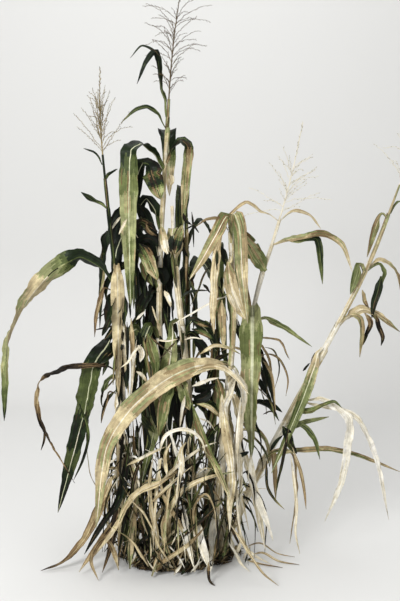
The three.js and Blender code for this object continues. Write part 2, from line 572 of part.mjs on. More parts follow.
// A low mass: a short tiller with arching leaves, each inside the sector and clear of what stands already.
function massSolid(mass, standing) {
  const random = seeded(mass.seed);
  const lean = rad(mass.lean);
  const out = new THREE.Vector3(Math.cos(lean), Math.sin(lean), 0);
  const foot = new THREE.Vector3(mass.foot[0], mass.foot[1], 0);
  const head = foot.clone().addScaledVector(out, mass.height * MASS_STEM_LEAN);
  head.z = mass.height;
  const middle = foot.clone().addScaledVector(out, mass.height * MASS_STEM_LEAN * 0.3);
  middle.z = mass.height * 0.5;
  const curve = new THREE.QuadraticBezierCurve3(foot, middle, head);
  let made = stemSolid(curve, MASS_STEM_RADIUS, 5, 4);
  for (let i = 0; i < mass.leaves; i++) {
    const share = i / (mass.leaves - 1);
    const across = (i * 0.618 + random() * 0.2) % 1;
    const at = mix(0.3, 0.96, share) * mass.height;
    const heading = mix(mass.sector[0], mass.sector[1], across);
    const reach = mix(mass.reach[0], mass.reach[1], random())
      * mix(MASS_DEPTH_SHARE, 1, Math.abs(Math.cos(rad(heading))));
    const crest = at + mix(12, 70, random());
    const tip = Math.max(mass.least, at - mix(60, 300, random()));
    const blade = {
      at,
      heading,
      marks: [[reach * 0.4, crest], [reach * 0.76, mix(crest, tip, 0.36)], [reach, tip]],
      width: mix(MASS_LEAF_WIDTH[0], MASS_LEAF_WIDTH[1], random()),
      roll: [0, mix(-50, 50, random()), mix(-70, 70, random())],
    };
    const leaf = bladeSolid(curve, blade, 0, 1, MASS_STATION);
    const clear = standing.every((other) => leaf.intersect(other).volume() === 0);
    if (clear && leaf.boundingBox().min[2] > CLEARANCE) made = made.add(leaf);
  }
  return made;
}

// The crown: the matted foot that all culms and tillers stand on, flat underneath.
function crownSolid() {
  const random = seeded(71);
  const uneven = Array.from({ length: CROWN.sides }, () => mix(0.92, 1.06, random()));
  const level = (share, height) => uneven.map((more, i) => {
    const turn = (2 * Math.PI * i) / CROWN.sides;
    const reach = share * (share === CROWN.shoulder ? 1 : more);
    const [x, y] = [CROWN.across * reach * Math.cos(turn), CROWN.deep * reach * Math.sin(turn)];
    return new THREE.Vector3(x, y, height);
  });
  return solid(loft([level(0.97, 0), level(1, CROWN.rimHeight), level(CROWN.shoulder, CROWN.height)]));
}

const finish = {
  culm: new THREE.MeshStandardMaterial({ name: "culm", color: 0x9aa06a, roughness: 0.55 }),
  crown: new THREE.MeshStandardMaterial({ name: "crown", color: 0x3b3325, roughness: 0.95 }),
  leaf: new THREE.MeshStandardMaterial({ name: "leaf", color: 0x5b6b3c, roughness: 0.6 }),
  dryLeaf: new THREE.MeshStandardMaterial({ name: "dry_leaf", color: 0xc9bd96, roughness: 0.75 }),
  tassel: new THREE.MeshStandardMaterial({ name: "tassel", color: 0xa89a70, roughness: 0.8 }),
};
const DRY = ["left_wrap", "pale_top_leaves", "pale_drops", "right_drop", "leaning_long_leaves", "front_arch",
  "front_mass"];

const plant = new THREE.Group();
plant.name = "maize_plant";
const standing = [];

// Names a solid, keeps it for the tests that follow and puts it in the plant.
function place(name, made, material) {
  const mesh = new THREE.Mesh(geometryOf(made), material);
  mesh.name = name;
  plant.add(mesh);
  standing.push(solid(mesh.geometry));
}

const groundBlock = solid(
  new THREE.BoxGeometry(2000, 2000, 400).translate(0, 0, CROWN.height + CLEARANCE - 200),
);
place("crown", crownSolid(), finish.crown);
for (const [name, culm] of Object.entries(culms)) {
  place(name, culmSolid(culm).subtract(groundBlock), finish.culm);
}
for (const [name, node] of Object.entries(nodes)) {
  const culm = culms[node.on];
  const curve = culmCurve(culm);
  const room = culmSolid(culm, CLEARANCE);
  const material = DRY.includes(name) ? finish.dryLeaf : finish.leaf;
  if (node.split) {
    const [blade] = node.blades;
    const gap = CLEARANCE / bladeCurve(curve, blade).getLength();
    place(name + "_rise", bladeSolid(curve, blade, 0, node.split).subtract(room), material);
    place(name + "_fall", bladeSolid(curve, blade, node.split + gap, 1), material);
    continue;
  }
  const parts = node.blades.map((blade) => bladeSolid(curve, blade));
  if (parts.length > 1) {
    const heights = node.blades.map((blade) => blade.at);
    parts.push(sleeveSolid(culm, Math.min(...heights) - 14, Math.max(...heights) + 14));
  }
  place(name, wasm.Manifold.union(parts).subtract(room), material);
}
for (const [name, tassel] of Object.entries(tassels)) {
  place(name, tasselSolid(tassel, culms[tassel.on], [...standing]), finish.tassel);
}
for (const [name, mass] of Object.entries(masses)) {
  const others = standing.slice(1);
  const made = massSolid(mass, others).subtract(groundBlock);
  place(name, made, DRY.includes(name) ? finish.dryLeaf : finish.leaf);
}

export default plant;
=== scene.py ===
"""The looks of a tillering maize plant: jointed culms in their sheaths, arching and hanging blades, a tangle
of low leaves, and thin tassels, on a pale studio floor."""

import math
from collections import namedtuple

import bpy
import numpy as np
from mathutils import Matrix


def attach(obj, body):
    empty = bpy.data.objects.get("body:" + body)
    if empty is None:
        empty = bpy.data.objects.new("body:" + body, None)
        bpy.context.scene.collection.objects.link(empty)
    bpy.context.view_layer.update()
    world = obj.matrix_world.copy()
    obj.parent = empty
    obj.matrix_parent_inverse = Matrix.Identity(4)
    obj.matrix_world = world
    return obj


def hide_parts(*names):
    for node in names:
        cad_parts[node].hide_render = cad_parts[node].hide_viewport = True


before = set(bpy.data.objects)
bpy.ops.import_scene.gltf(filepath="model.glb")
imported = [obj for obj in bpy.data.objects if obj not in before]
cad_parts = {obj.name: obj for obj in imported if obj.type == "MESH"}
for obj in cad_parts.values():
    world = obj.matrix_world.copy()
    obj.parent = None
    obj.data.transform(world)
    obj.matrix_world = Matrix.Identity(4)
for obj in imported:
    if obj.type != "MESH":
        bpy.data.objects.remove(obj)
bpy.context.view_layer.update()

bl_info = {
    "name": "Maize plant",
    "version": (1, 0, 0),
    "blender": (4, 5, 0),
    "location": "3D View > Sidebar > Maize",
    "description": "Grows the stems, leaves and tassels of a tillering maize plant",
    "category": "Add Mesh",
}

MM = 0.001

# Culms, in millimetres as in the part's source: foot, marks, head, radii at foot and head, joints, tones
# and sheaths. Tones run from foot to head, 0 for the darkest green and 1 for the palest straw. A sheath is
# given as its low end, its high end and how loose it is.
Culm = namedtuple("Culm", "foot marks head radius joints tones sheaths")
CULMS = {
    "left_culm": Culm((-144, -34), [(-176, -42, 300), (-175, -46, 716)], (-223, -46, 1284), (11, 3.4), 7,
                      [0.5, 0.75, 0.85, 0.8, 0.4, 0.15, 0.12], [(120, 300, 0.5), (330, 620, 1.0),
                       (470, 760, 1.0), (640, 892, 0.9), (860, 1124, 0.4), (1080, 1214, 0.2)]),
    "tall_culm": Culm((-26, 4), [(-50, 6, 480), (-56, 6, 870)], (-24, 10, 1455), (13, 4.4), 8,
                      [0.4, 0.3, 0.35, 0.45, 0.75, 0.8, 0.7, 0.62, 0.4], [(330, 560, 0.6), (520, 718, 0.4),
                       (690, 874, 0.4), (860, 1058, 0.5), (1000, 1174, 0.5), (1110, 1256, 0.4),
                       (1220, 1372, 0.3), (1330, 1402, 0.2)]),
    "second_culm": Culm((62, -30), [(30, -38, 610), (-4, -36, 934)], (-14, -36, 1130), (11, 5), 6,
                        [0.5, 0.6, 0.65, 0.85, 0.95, 0.9],
                        [(240, 480, 0.7), (440, 640, 0.6), (610, 782, 0.5), (760, 950, 0.5)]),
    "rear_culm": Culm((-70, 62), [(-116, 112, 480)], (-140, 124, 1010), (10, 4.2), 6, [0.3, 0.2, 0.2],
                      [(280, 542, 0.5), (500, 822, 0.4), (800, 972, 0.4)]),
    "back_culm": Culm((36, 78), [(32, 126, 600)], (26, 132, 1135), (10, 4), 6, [0.35, 0.25, 0.25],
                      [(260, 502, 0.5), (560, 842, 0.4), (830, 1092, 0.4)]),
    "pale_culm": Culm((108, -56), [(154, -66, 520), (174, -68, 780)], (162, -70, 1086), (10, 4.6), 6,
                      [0.7, 0.8, 0.75, 0.7, 0.65],
                      [(60, 152, 0.6), (150, 324, 0.9), (330, 608, 0.9), (640, 900, 0.7), (820, 1058, 0.6)]),
    "slim_culm": Culm((78, 26), [(116, 30, 444), (128, 30, 700)], (121, 30, 960), (9, 4), 5,
                      [0.4, 0.4, 0.35],
                      [(240, 480, 0.5), (480, 702, 0.4), (640, 802, 0.4), (780, 932, 0.3)]),
    "right_culm": Culm((132, -6), [(200, 2, 460), (237, 4, 795)], (322, 4, 1101), (10, 3), 6,
                       [0.7, 0.8, 0.85, 0.9, 0.85], [(60, 142, 0.5), (150, 342, 0.7), (360, 652, 0.7),
                        (600, 792, 0.6), (740, 924, 0.5), (880, 1010, 0.3), (1000, 1086, 0.2)]),
    "leaning_culm": Culm((142, 38), [(250, 48, 240), (426, 50, 584), (605, 52, 939)], (700, 56, 1195),
                         (12, 3.2), 7, [0.7, 0.8, 0.85, 0.85, 0.75, 0.6], [(90, 332, 0.6), (240, 438, 0.6),
                          (400, 678, 0.6), (600, 758, 0.5), (740, 926, 0.4), (920, 1106, 0.3)]),
}

# Blades, in millimetres and degrees as in the source: the height of the collar, the compass direction, the
# width, and the marks as (out, height), of which the last is the tip. roll is how the blade turns about its
# own length, and roll and tones run from collar to tip. crease pulls its line towards the straight ones
# between its marks. dry is how much of it has died back, and midrib how large its midrib is. wave, channel
# and crumple are depths as shares of its half width. Unless its row says otherwise, a broad blade has a
# midrib of its own finish, and a dead one is more crumpled.
SOUND = 0.06
Leaf = namedtuple("Leaf", "at heading width marks roll tones crease dry wave rib channel midrib crumple",
                  defaults=(0.35, SOUND, 0.28, None, 0.3, 1, None))
LEAVES = {
    "left_culm": {
        "left_top_leaves": [
            Leaf(1254, 180, 14, [(30, 1292), (60, 1303)], [-50, -60, -60], [0.2, 0.1]),
            Leaf(1212, 350, 24, [(18, 1229), (38, 1241)], [40, 60, 70], [0.15, 0.1]),
            Leaf(1122, 182, 26, [(39, 1142), (82, 1172)], [-40, -60, -70], [0.25, 0.1]),
        ],
        "left_arch": [Leaf(890, 185, 66, [(109, 976), (195, 930), (272, 842), (332, 716), (350, 468)],
                           [10, 44, 74, 46, 8, -34, -62, -76],
                           [0.2, 0.03, 0.05, 0.4, 0.57, 0.5, 0.57, 0.52, 0.45, 0.3, 0.15], crease=0.5,
                           wave=0.18, rib=False, crumple=0.1)],
        "left_drop": [Leaf(752, 170, 72, [(26, 718), (84, 638), (112, 505), (158, 340), (212, 149)],
                           [-60, -78, -70, -86, -84], [0.12, 0.08, 0.32, 0.25, 0.12, 0.28, 0.12, 0.06],
                           crease=0.5, wave=0.2, crumple=0.1)],
        "left_hook": [Leaf(614, 190, 20, [(65, 640), (170, 634), (252, 592), (254, 480), (150, 268)],
                           [-20, -74, -8, -84, -20, -84], [0.05, 0.3, 0.1, 0.5, 0.15, 0.45, 0.1], crease=0.3,
                           dry=1, wave=0.5, crumple=0.5)],
        "left_short": [Leaf(868, 200, 18, [(35, 878), (64, 806), (72, 730)], [-30, -50, -60],
                            [0.3, 0.4, 0.3], dry=1)],
        "left_wrap": [Leaf(936, 288, 44, [(24, 952), (36, 926), (38, 780), (34, 545)], [0, 6, -6, 0],
                           [0.5, 0.62, 0.66, 0.62, 0.55], dry=1, wave=0.1, rib=False, channel=-0.35)],
        "left_inner": [Leaf(685, 44, 44, [(64, 745), (116, 673), (146, 511)], [20, 40, 46, 50],
                            [0.3, 0.35, 0.4, 0.35], crease=0.7)],
        "left_floor_leaves": [
            Leaf(545, 186, 14, [(31, 553), (50, 509), (63, 456)], [-20, -40, -50], [0.3, 0.35, 0.3], dry=1),
            Leaf(298, 200, 34, [(30, 270), (62, 205), (125, 86), (190, 26), (262, 7)],
                 [-40, -50, -46, -30, -12], [0.6, 0.5, 0.4, 0.45, 0.3, 0.2], dry=1),
            Leaf(176, 220, 28, [(54, 122), (126, 60), (177, 12)], [-20, -30, -16], [0.3, 0.4, 0.5], dry=1),
            Leaf(206, 240, 26, [(38, 160), (84, 60), (122, 8)], [-10, -14, 0], [0.3, 0.2, 0.3], dry=1),
            Leaf(236, 286, 34, [(22, 244), (42, 204), (52, 40)], [0, 12, 22], [0.4, 0.3, 0.2]),
        ],
    },
    "tall_culm": {
        "broad_hang": [Leaf(1240, 217, 64, [(86, 1316), (124, 1298), (133, 1140), (130, 814)],
                            [0, -20, -48, -50, -50],
                            [0.3, 0.1, 0.12, 0.25, 0.4, 0.5, 0.55, 0.45, 0.5, 0.3, 0.45], crease=0.8,
                            wave=0.16)],
        "tall_left": [Leaf(1172, 200, 56, [(64, 1262), (84, 1222), (94, 1102)], [-40, -64, -66, -70],
                           [0.75, 0.4, 0.08, 0.1, 0.12], crease=0.8)],
        "tall_right": [Leaf(1258, 346, 38, [(50, 1330), (72, 1312), (64, 1194), (56, 1060)],
                            [20, 44, 70, 78], [0.4, 0.1, 0.15, 0.5, 0.45, 0.55, 0.4, 0.5], crease=0.8,
                            dry=0.4, wave=0.2)],
        "tall_top_leaf": [Leaf(1368, 184, 18, [(61, 1430), (98, 1421), (142, 1382)], [-40, -60, -76],
                               [0.3, 0.2, 0.3])],
        "flag_leaf": [
            Leaf(1400, 180, 28, [(20, 1480), (28, 1560), (38, 1598), (66, 1566), (94, 1500)],
                 [0, -10, -40, -74, -80], [0.35, 0.3, 0.15, 0.06, 0.1, 0.06]),
            Leaf(1400, 172, 16, [(22, 1486), (30, 1566), (46, 1602), (80, 1616), (116, 1580)],
                 [0, -10, -40, -70, -80], [0.3, 0.3, 0.1, 0.1]),
        ],
        "tall_back": [Leaf(1296, 88, 58, [(40, 1354), (80, 1366), (128, 1300), (150, 1160)], [0, 0, 0],
                           [0.2, 0.1, 0.08, 0.5, 0.6], crease=0.8)],
        "tall_mid": [Leaf(1056, 186, 42, [(46, 1152), (66, 1128), (60, 1068)], [-40, -64, -76],
                          [0.3, 0.08, 0.1], crease=0.7)],
        "tall_low": [Leaf(872, 180, 48, [(98, 1070), (133, 993), (147, 867)], [-50, -66, -78, -80],
                          [0.3, 0.12, 0.06, 0.1], crease=0.7)],
        "tall_drop": [
            Leaf(716, 214, 44, [(32, 756), (56, 710), (64, 566)], [-20, -40, -52], [0.3, 0.2, 0.3]),
            Leaf(740, 164, 40, [(24, 839), (58, 836), (74, 748)], [-40, -60, -70], [0.12, 0.05, 0.08]),
            Leaf(689, 2, 12, [(47, 711), (104, 712), (145, 699)], [20, 40, 50], [0.7, 0.8, 0.75], dry=1),
        ],
    },
    "rear_culm": {
        "rear_leaves": [
            Leaf(970, 176, 32, [(20, 1100), (84, 1034), (106, 950), (121, 723)], [-40, -60, -70],
                 [0.2, 0.1, 0.12]),
            Leaf(960, 96, 44, [(70, 1082), (170, 1010), (250, 760)], [0, 0, 10], [0.2, 0.12, 0.15, 0.2]),
            Leaf(900, 196, 34, [(25, 1010), (52, 985), (60, 850)], [-30, -50, -56], [0.1, 0.05, 0.08]),
            Leaf(940, 340, 48, [(31, 1056), (65, 1020), (88, 880)], [20, 44, 50], [0.1, 0.04, 0.06]),
        ],
        "rear_low_leaves": [
            Leaf(600, 112, 48, [(90, 716), (210, 610), (280, 330)], [0, 0, -14, -20], [0.2, 0.15, 0.25]),
            Leaf(540, 70, 42, [(60, 610), (140, 480), (180, 210)], [0, 0, 12], [0.25, 0.2, 0.35]),
        ],
    },
    "back_culm": {
        "back_leaves": [
            Leaf(1090, 98, 40, [(80, 1190), (180, 1110), (230, 880)], [0, 6, 12], [0.2, 0.12, 0.2]),
            Leaf(1000, 30, 38, [(56, 1080), (110, 1000), (130, 800)], [0, 10, 20], [0.2, 0.1, 0.2]),
            Leaf(840, 62, 50, [(90, 950), (220, 840), (290, 560)], [0, 0, -10, -16], [0.2, 0.15, 0.3]),
            Leaf(930, 190, 48, [(29, 1017), (60, 944), (62, 672)], [-30, -46, -40], [0.1, 0.05, 0.08]),
        ],
        "back_low_leaves": [
            Leaf(560, 108, 48, [(80, 660), (190, 540), (250, 240)], [0, 4, 10], [0.2, 0.15, 0.3]),
            Leaf(500, 40, 42, [(70, 590), (160, 460), (200, 200)], [0, 0, -10], [0.25, 0.2, 0.4]),
            Leaf(470, 205, 44, [(45, 537), (73, 452), (84, 300)], [-20, -40, -40], [0.1, 0.05, 0.1]),
        ],
    },
    "second_culm": {
        "second_funnel": [Leaf(948, 262, 60, [(26, 1030), (40, 1062), (60, 1040)], [0, 0, 0],
                               [0.4, 0.55, 0.5, 0.56], dry=0.3)],
        "centre_drop": [
            Leaf(780, 204, 50, [(18, 770), (40, 640), (75, 500), (141, 250)], [-30, -58, -66, -70],
                 [0.3, 0.5, 0.3, 0.56, 0.35, 0.45], wave=0.25),
            Leaf(728, 8, 44, [(28, 775), (72, 746), (106, 676)], [20, 46, 60], [0.2, 0.15, 0.2]),
            Leaf(493, 16, 30, [(47, 518), (94, 483), (125, 400)], [20, 46, 60], [0.3, 0.3, 0.25]),
        ],
    },
    "pale_culm": {
        "pale_top_leaves": [
            Leaf(1056, 176, 15, [(40, 1092), (76, 1088), (104, 1068)], [-30, -50, -60], [0.5, 0.4], dry=1),
            Leaf(996, 198, 46, [(14, 1100), (54, 1036), (98, 963), (134, 910)], [-50, -60, -64, -64],
                 [0.5, 0.4, 0.5, 0.55], dry=0.5),
            Leaf(1016, 312, 46, [(14, 1106), (34, 1070), (52, 900), (74, 778)], [20, 30, 36, 40],
                 [0.5, 0.45, 0.6, 0.5], dry=0.5),
            Leaf(866, 184, 9, [(52, 845), (119, 808), (184, 772)], [-30, -46, -50], [0.85, 0.95, 0.9], dry=1),
        ],
        "pale_drops": [
            Leaf(540, 258, 30, [(24, 568), (46, 540), (62, 420), (68, 236)], [0, 14, 20], [0.7, 0.8, 0.8],
                 dry=1, wave=0.3),
            Leaf(526, 306, 36, [(24, 552), (48, 520), (64, 330), (68, 112)], [0, -20, -30],
                 [0.7, 0.75, 0.85, 0.8], dry=1, wave=0.3),
            Leaf(322, 206, 26, [(46, 306), (138, 252), (180, 182), (170, 56)], [-20, -50, -64, -70],
                 [0.7, 0.6, 0.5], dry=1),
            Leaf(150, 258, 26, [(26, 148), (52, 96), (64, 30), (104, 6)], [0, 10, 20], [0.9, 0.95, 0.9],
                 dry=1),
        ],
        "front_arch": [Leaf(606, 198, 68,
                            [(24, 642), (118, 642), (212, 604), (314, 526), (386, 420), (424, 169)],
                            [-20, -60, -68, -62, -70, -74],
                            [0.6, 0.7, 0.5, 0.62, 0.5, 0.66, 0.5, 0.6, 0.5, 0.55], crease=0.2, dry=0.6,
                            wave=0.14)],
    },
    "slim_culm": {
        "slim_leaves": [
            Leaf(930, 82, 34, [(40, 1010), (90, 960), (120, 760)], [0, 0, 8], [0.3, 0.2, 0.3]),
            Leaf(800, 10, 24, [(26, 850), (40, 800), (44, 650)], [20, 50, 60], [0.3, 0.3, 0.4]),
            Leaf(700, 200, 22, [(40, 760), (72, 730), (84, 640)], [-30, -56, -60], [0.4, 0.3, 0.4]),
            Leaf(650, 176, 13, [(32, 673), (54, 666), (78, 629)], [-30, -46, -50], [0.6, 0.5, 0.5], dry=1),
            Leaf(666, 352, 13, [(45, 682), (72, 676), (100, 648)], [30, 46, 50], [0.6, 0.5, 0.5], dry=1),
        ],
    },
    "right_culm": {
        "right_top_leaves": [
            Leaf(1084, 184, 15, [(60, 1112), (103, 1141), (152, 1102), (211, 975)], [-30, -50, -60],
                 [0.7, 0.5, 0.5], dry=1),
            Leaf(1084, 4, 16, [(53, 1114), (95, 1101), (132, 1058)], [30, 50, 60], [0.8, 0.6, 0.6], dry=1),
            Leaf(1008, 352, 28, [(89, 1031), (157, 1044), (216, 1012), (250, 927)], [20, 46, 60, 66],
                 [0.6, 0.5, 0.35, 0.6, 0.7], dry=0.6),
            Leaf(1008, 352, 30, [(89, 1026), (138, 1028), (152, 957), (159, 888)], [20, 46, 70, 80],
                 [0.6, 0.5, 0.2, 0.3, 0.3]),
        ],
        "right_left": [Leaf(922, 166, 60, [(36, 988), (68, 1028), (86, 980), (84, 826)],
                            [-50, -66, -76, -80], [0.5, 0.45, 0.3, 0.45, 0.5, 0.45], crease=0.8, wave=0.2)],
        "right_middle_leaves": [
            Leaf(764, 2, 25, [(44, 776), (114, 741), (194, 686)], [20, 46, 50], [0.5, 0.4, 0.4]),
            Leaf(690, 352, 12, [(50, 716), (100, 708), (132, 650)], [20, 30, 40], [0.5, 0.4], dry=1),
            Leaf(672, 336, 12, [(44, 696), (74, 650), (84, 536)], [20, 30, 40], [0.5, 0.4], dry=1),
            Leaf(650, 322, 12, [(50, 668), (94, 610), (112, 494)], [20, 30, 40], [0.5, 0.4], dry=1),
            Leaf(630, 8, 20, [(41, 625), (67, 541), (103, 460)], [20, 50, 50], [0.15, 0.1, 0.15]),
            Leaf(477, 355, 22, [(57, 510), (92, 496), (121, 450)], [20, 50, 60], [0.15, 0.1, 0.15]),
        ],
        "right_front": [Leaf(790, 267, 72, [(30, 820), (62, 786), (82, 640), (86, 350)], [0, 12, 24, 24],
                             [0.62, 0.5, 0.4, 0.57, 0.45, 0.52, 0.35], crease=0.2, wave=0.3, channel=0.7,
                             midrib=2.8)],
        "right_drop": [
            Leaf(340, 322, 32, [(26, 350), (58, 290), (120, 50)], [10, 30, 40], [0.7, 0.8, 0.85], dry=1),
            Leaf(140, 330, 18, [(32, 120), (83, 34), (172, 5)], [0, 20, 10], [0.7, 0.8], dry=1),
            Leaf(120, 300, 15, [(40, 62), (96, 14), (150, 5)], [0, 10, 10], [0.7, 0.8], dry=1),
        ],
    },
    "leaning_culm": {
        "leaning_blade": [Leaf(676, 206, 38, [(20, 660), (90, 500), (196, 288)], [-40, -66, -70, -74],
                               [0.8, 0.55, 0.35, 0.4, 0.4], rib=True)],
        "leaning_long_leaves": [
            Leaf(502, 345, 34, [(81, 508), (145, 474), (167, 450), (150, 252), (97, 107)],
                 [10, 30, 60, 72, 76], [0.8, 0.9, 0.95, 0.9, 0.9], dry=1, wave=0.35),
            Leaf(502, 354, 25, [(128, 480), (196, 446), (258, 317), (302, 116)], [10, 40, 60, 66],
                 [0.8, 0.9, 0.95, 0.9], dry=1, wave=0.35),
        ],
        "leaning_top_leaves": [
            Leaf(748, 0, 40, [(38, 775), (76, 798), (112, 790), (200, 728)], [10, 40, 50],
                 [0.8, 0.65, 0.55, 0.5], dry=0.6),
            Leaf(756, 336, 24, [(40, 784), (66, 776), (75, 735), (70, 650)], [10, 40, 60], [0.6, 0.5, 0.4],
                 dry=0.6),
            Leaf(920, 200, 36, [(16, 944), (30, 914), (52, 850)], [-30, -56, -60], [0.5, 0.4, 0.4]),
            Leaf(924, 0, 27, [(40, 944), (56, 920), (42, 874), (18, 792)], [20, 50, 70],
                 [0.4, 0.3, 0.35, 0.3]),
            Leaf(924, 12, 25, [(50, 956), (96, 930), (140, 800)], [20, 50, 60], [0.7, 0.6, 0.55, 0.5],
                 dry=0.6),
            Leaf(1092, 196, 24, [(14, 1104), (36, 1072), (68, 968)], [-30, -56, -60], [0.5, 0.4, 0.35],
                 dry=0.4),
            Leaf(1104, 12, 20, [(34, 1142), (66, 1116), (96, 1000)], [0, 20, 40], [0.3, 0.3]),
        ],
        "leaning_low_leaves": [
            Leaf(312, 0, 23, [(104, 336), (201, 342), (298, 322), (441, 265)], [20, 40, 50, 50],
                 [0.6, 0.5, 0.45, 0.5], dry=0.6),
            Leaf(395, 5, 23, [(42, 414), (88, 430), (164, 446)], [20, 50, 50], [0.5, 0.4, 0.5]),
            Leaf(436, 340, 24, [(85, 477), (156, 513), (182, 494)], [10, 40, 70], [0.5, 0.4, 0.3]),
            Leaf(418, 318, 25, [(50, 436), (88, 428), (124, 398), (146, 337)], [10, 20, 30], [0.5, 0.3, 0.3]),
            Leaf(335, 14, 21, [(50, 342), (80, 315), (94, 202), (74, 14)], [10, 40, 50], [0.5, 0.4, 0.5],
                 dry=1),
            Leaf(330, 292, 21, [(20, 346), (42, 300), (54, 190)], [0, 10, 20], [0.5, 0.4, 0.5], dry=1),
        ],
    },
}

# The blades that are two nodes in the source.
SPLIT_NODES = {
    "left_arch": ("left_arch_rise", "left_arch_fall"),
    "front_arch": ("front_arch_rise", "front_arch_fall"),
}

# Tassels, as in the source. reach is how long their branches are, and gather narrows the lower ones.
Tassel = namedtuple("Tassel", "on length bend rise branches reach spread arch seed tones gather",
                    defaults=(1,))
TASSELS = {
    "left_tassel": Tassel("left_culm", 258, (14, 0), 0.5, 13, (90, 150), (12, 32), 0.12, 11, (1, 2, 3)),
    "tall_tassel": Tassel("tall_culm", 372, (30, 0), 0.64, 15, (150, 200), (46, 34), 0.66, 5, (2, 2, 3),
                          gather=0.5),
    "right_tassel": Tassel("right_culm", 290, (0, 0), 0.5, 9, (90, 170), (40, 58), 0.2, 23, (0, 0, 1)),
    "leaning_tassel": Tassel("leaning_culm", 270, (0, 0), 0.5, 9, (90, 170), (22, 50), 0.3, 37, (0, 0, 1)),
}

# Low masses, as in the source: a short tiller whose leaves keep to a sector and a reach. density is the
# share of the finer straps that it gets.
Mass = namedtuple("Mass", "foot lean height sector leaves reach least seed density", defaults=(1,))
MASSES = {
    "front_mass": Mass((-22, -80), 262, 360, (186, 356), 12, (90, 190), 60, 3, density=0.9),
    "front_left_mass": Mass((-92, -60), 214, 400, (160, 300), 10, (60, 130), 50, 8),
    "left_mass": Mass((-142, 18), 172, 300, (120, 220), 7, (40, 90), 8, 13, density=0.6),
    "rear_left_mass": Mass((-106, 56), 116, 380, (40, 170), 9, (80, 160), 8, 21, density=0.6),
    "rear_mass": Mass((-16, 92), 92, 400, (10, 170), 9, (90, 180), 8, 34, density=0.6),
    "rear_right_mass": Mass((90, 70), 52, 380, (0, 130), 9, (80, 160), 8, 55, density=0.6),
    "middle_mass": Mass((36, -78), 286, 420, (200, 350), 11, (80, 180), 70, 89, density=0.7),
    "front_right_mass": Mass((146, -36), 326, 280, (280, 372), 8, (60, 140), 20, 61, density=0.4),
}

# How the source makes a low mass: its tiller's radii, how far that leans over its height, how far leaves
# reach to the front and back over their reach to the sides, and their widths.
MASS_STEM_RADIUS = (8, 2.6)
MASS_STEM_LEAN = 0.2
MASS_DEPTH_SHARE = 0.5
MASS_LEAF_WIDTH = (14, 28)

# The tones of a low mass's leaves and of its finer straps.
LOW_TONES = (0.02, 0.04, 0.1, 0.3, 0.5, 0.75)
TANGLE_TONES = (0.05, 0.15, 0.3, 0.45, 0.55, 0.65, 0.72, 0.8, 0.88, 0.95)

# Withered leaves that hang close round the culms, finer than the source's: how many, the heights of their
# feet, their headings, how far out they reach, their lengths, widths and tones, and how much has died.
Withered = namedtuple("Withered", "count at heading reach length width tones dry")
WITHERED = {
    "left_culm": [
        Withered(8, (600, 900), (150, 330), (30, 70), (110, 260), (16, 36), (0.03, 0.25), 0.4),
        Withered(9, (520, 880), (200, 340), (14, 24), (180, 360), (9, 22), (0.45, 0.85), 1),
        Withered(6, (280, 500), (200, 340), (14, 26), (120, 260), (9, 20), (0.35, 0.8), 1),
    ],
    "tall_culm": [
        Withered(4, (900, 1100), (100, 240), (30, 75), (120, 240), (22, 46), (0.0, 0.12), 0.2),
        Withered(7, (560, 930), (0, 180), (30, 90), (130, 300), (18, 44), (0.0, 0.2), 0.35),
    ],
    "second_culm": [Withered(7, (460, 800), (120, 400), (30, 80), (100, 240), (10, 26), (0.0, 0.2), 0.4)],
    "rear_culm": [Withered(10, (480, 960), (0, 360), (40, 120), (150, 320), (20, 44), (0.0, 0.2), 0.3)],
    "back_culm": [Withered(12, (440, 1080), (0, 360), (40, 120), (150, 320), (20, 44), (0.0, 0.22), 0.3)],
    "pale_culm": [
        Withered(5, (420, 1000), (120, 400), (20, 60), (120, 260), (7, 16), (0.5, 0.95), 0.9),
        Withered(6, (380, 720), (120, 400), (40, 90), (120, 260), (14, 32), (0.03, 0.25), 0.4),
    ],
    "slim_culm": [Withered(9, (420, 900), (0, 360), (30, 100), (120, 280), (12, 30), (0.05, 0.5), 0.6)],
    "right_culm": [Withered(9, (300, 740), (300, 400), (60, 120), (120, 260), (8, 22), (0.03, 0.5), 0.6)],
    "leaning_culm": [Withered(3, (300, 700), (160, 340), (16, 60), (70, 180), (8, 20), (0.2, 0.8), 0.8)],
}

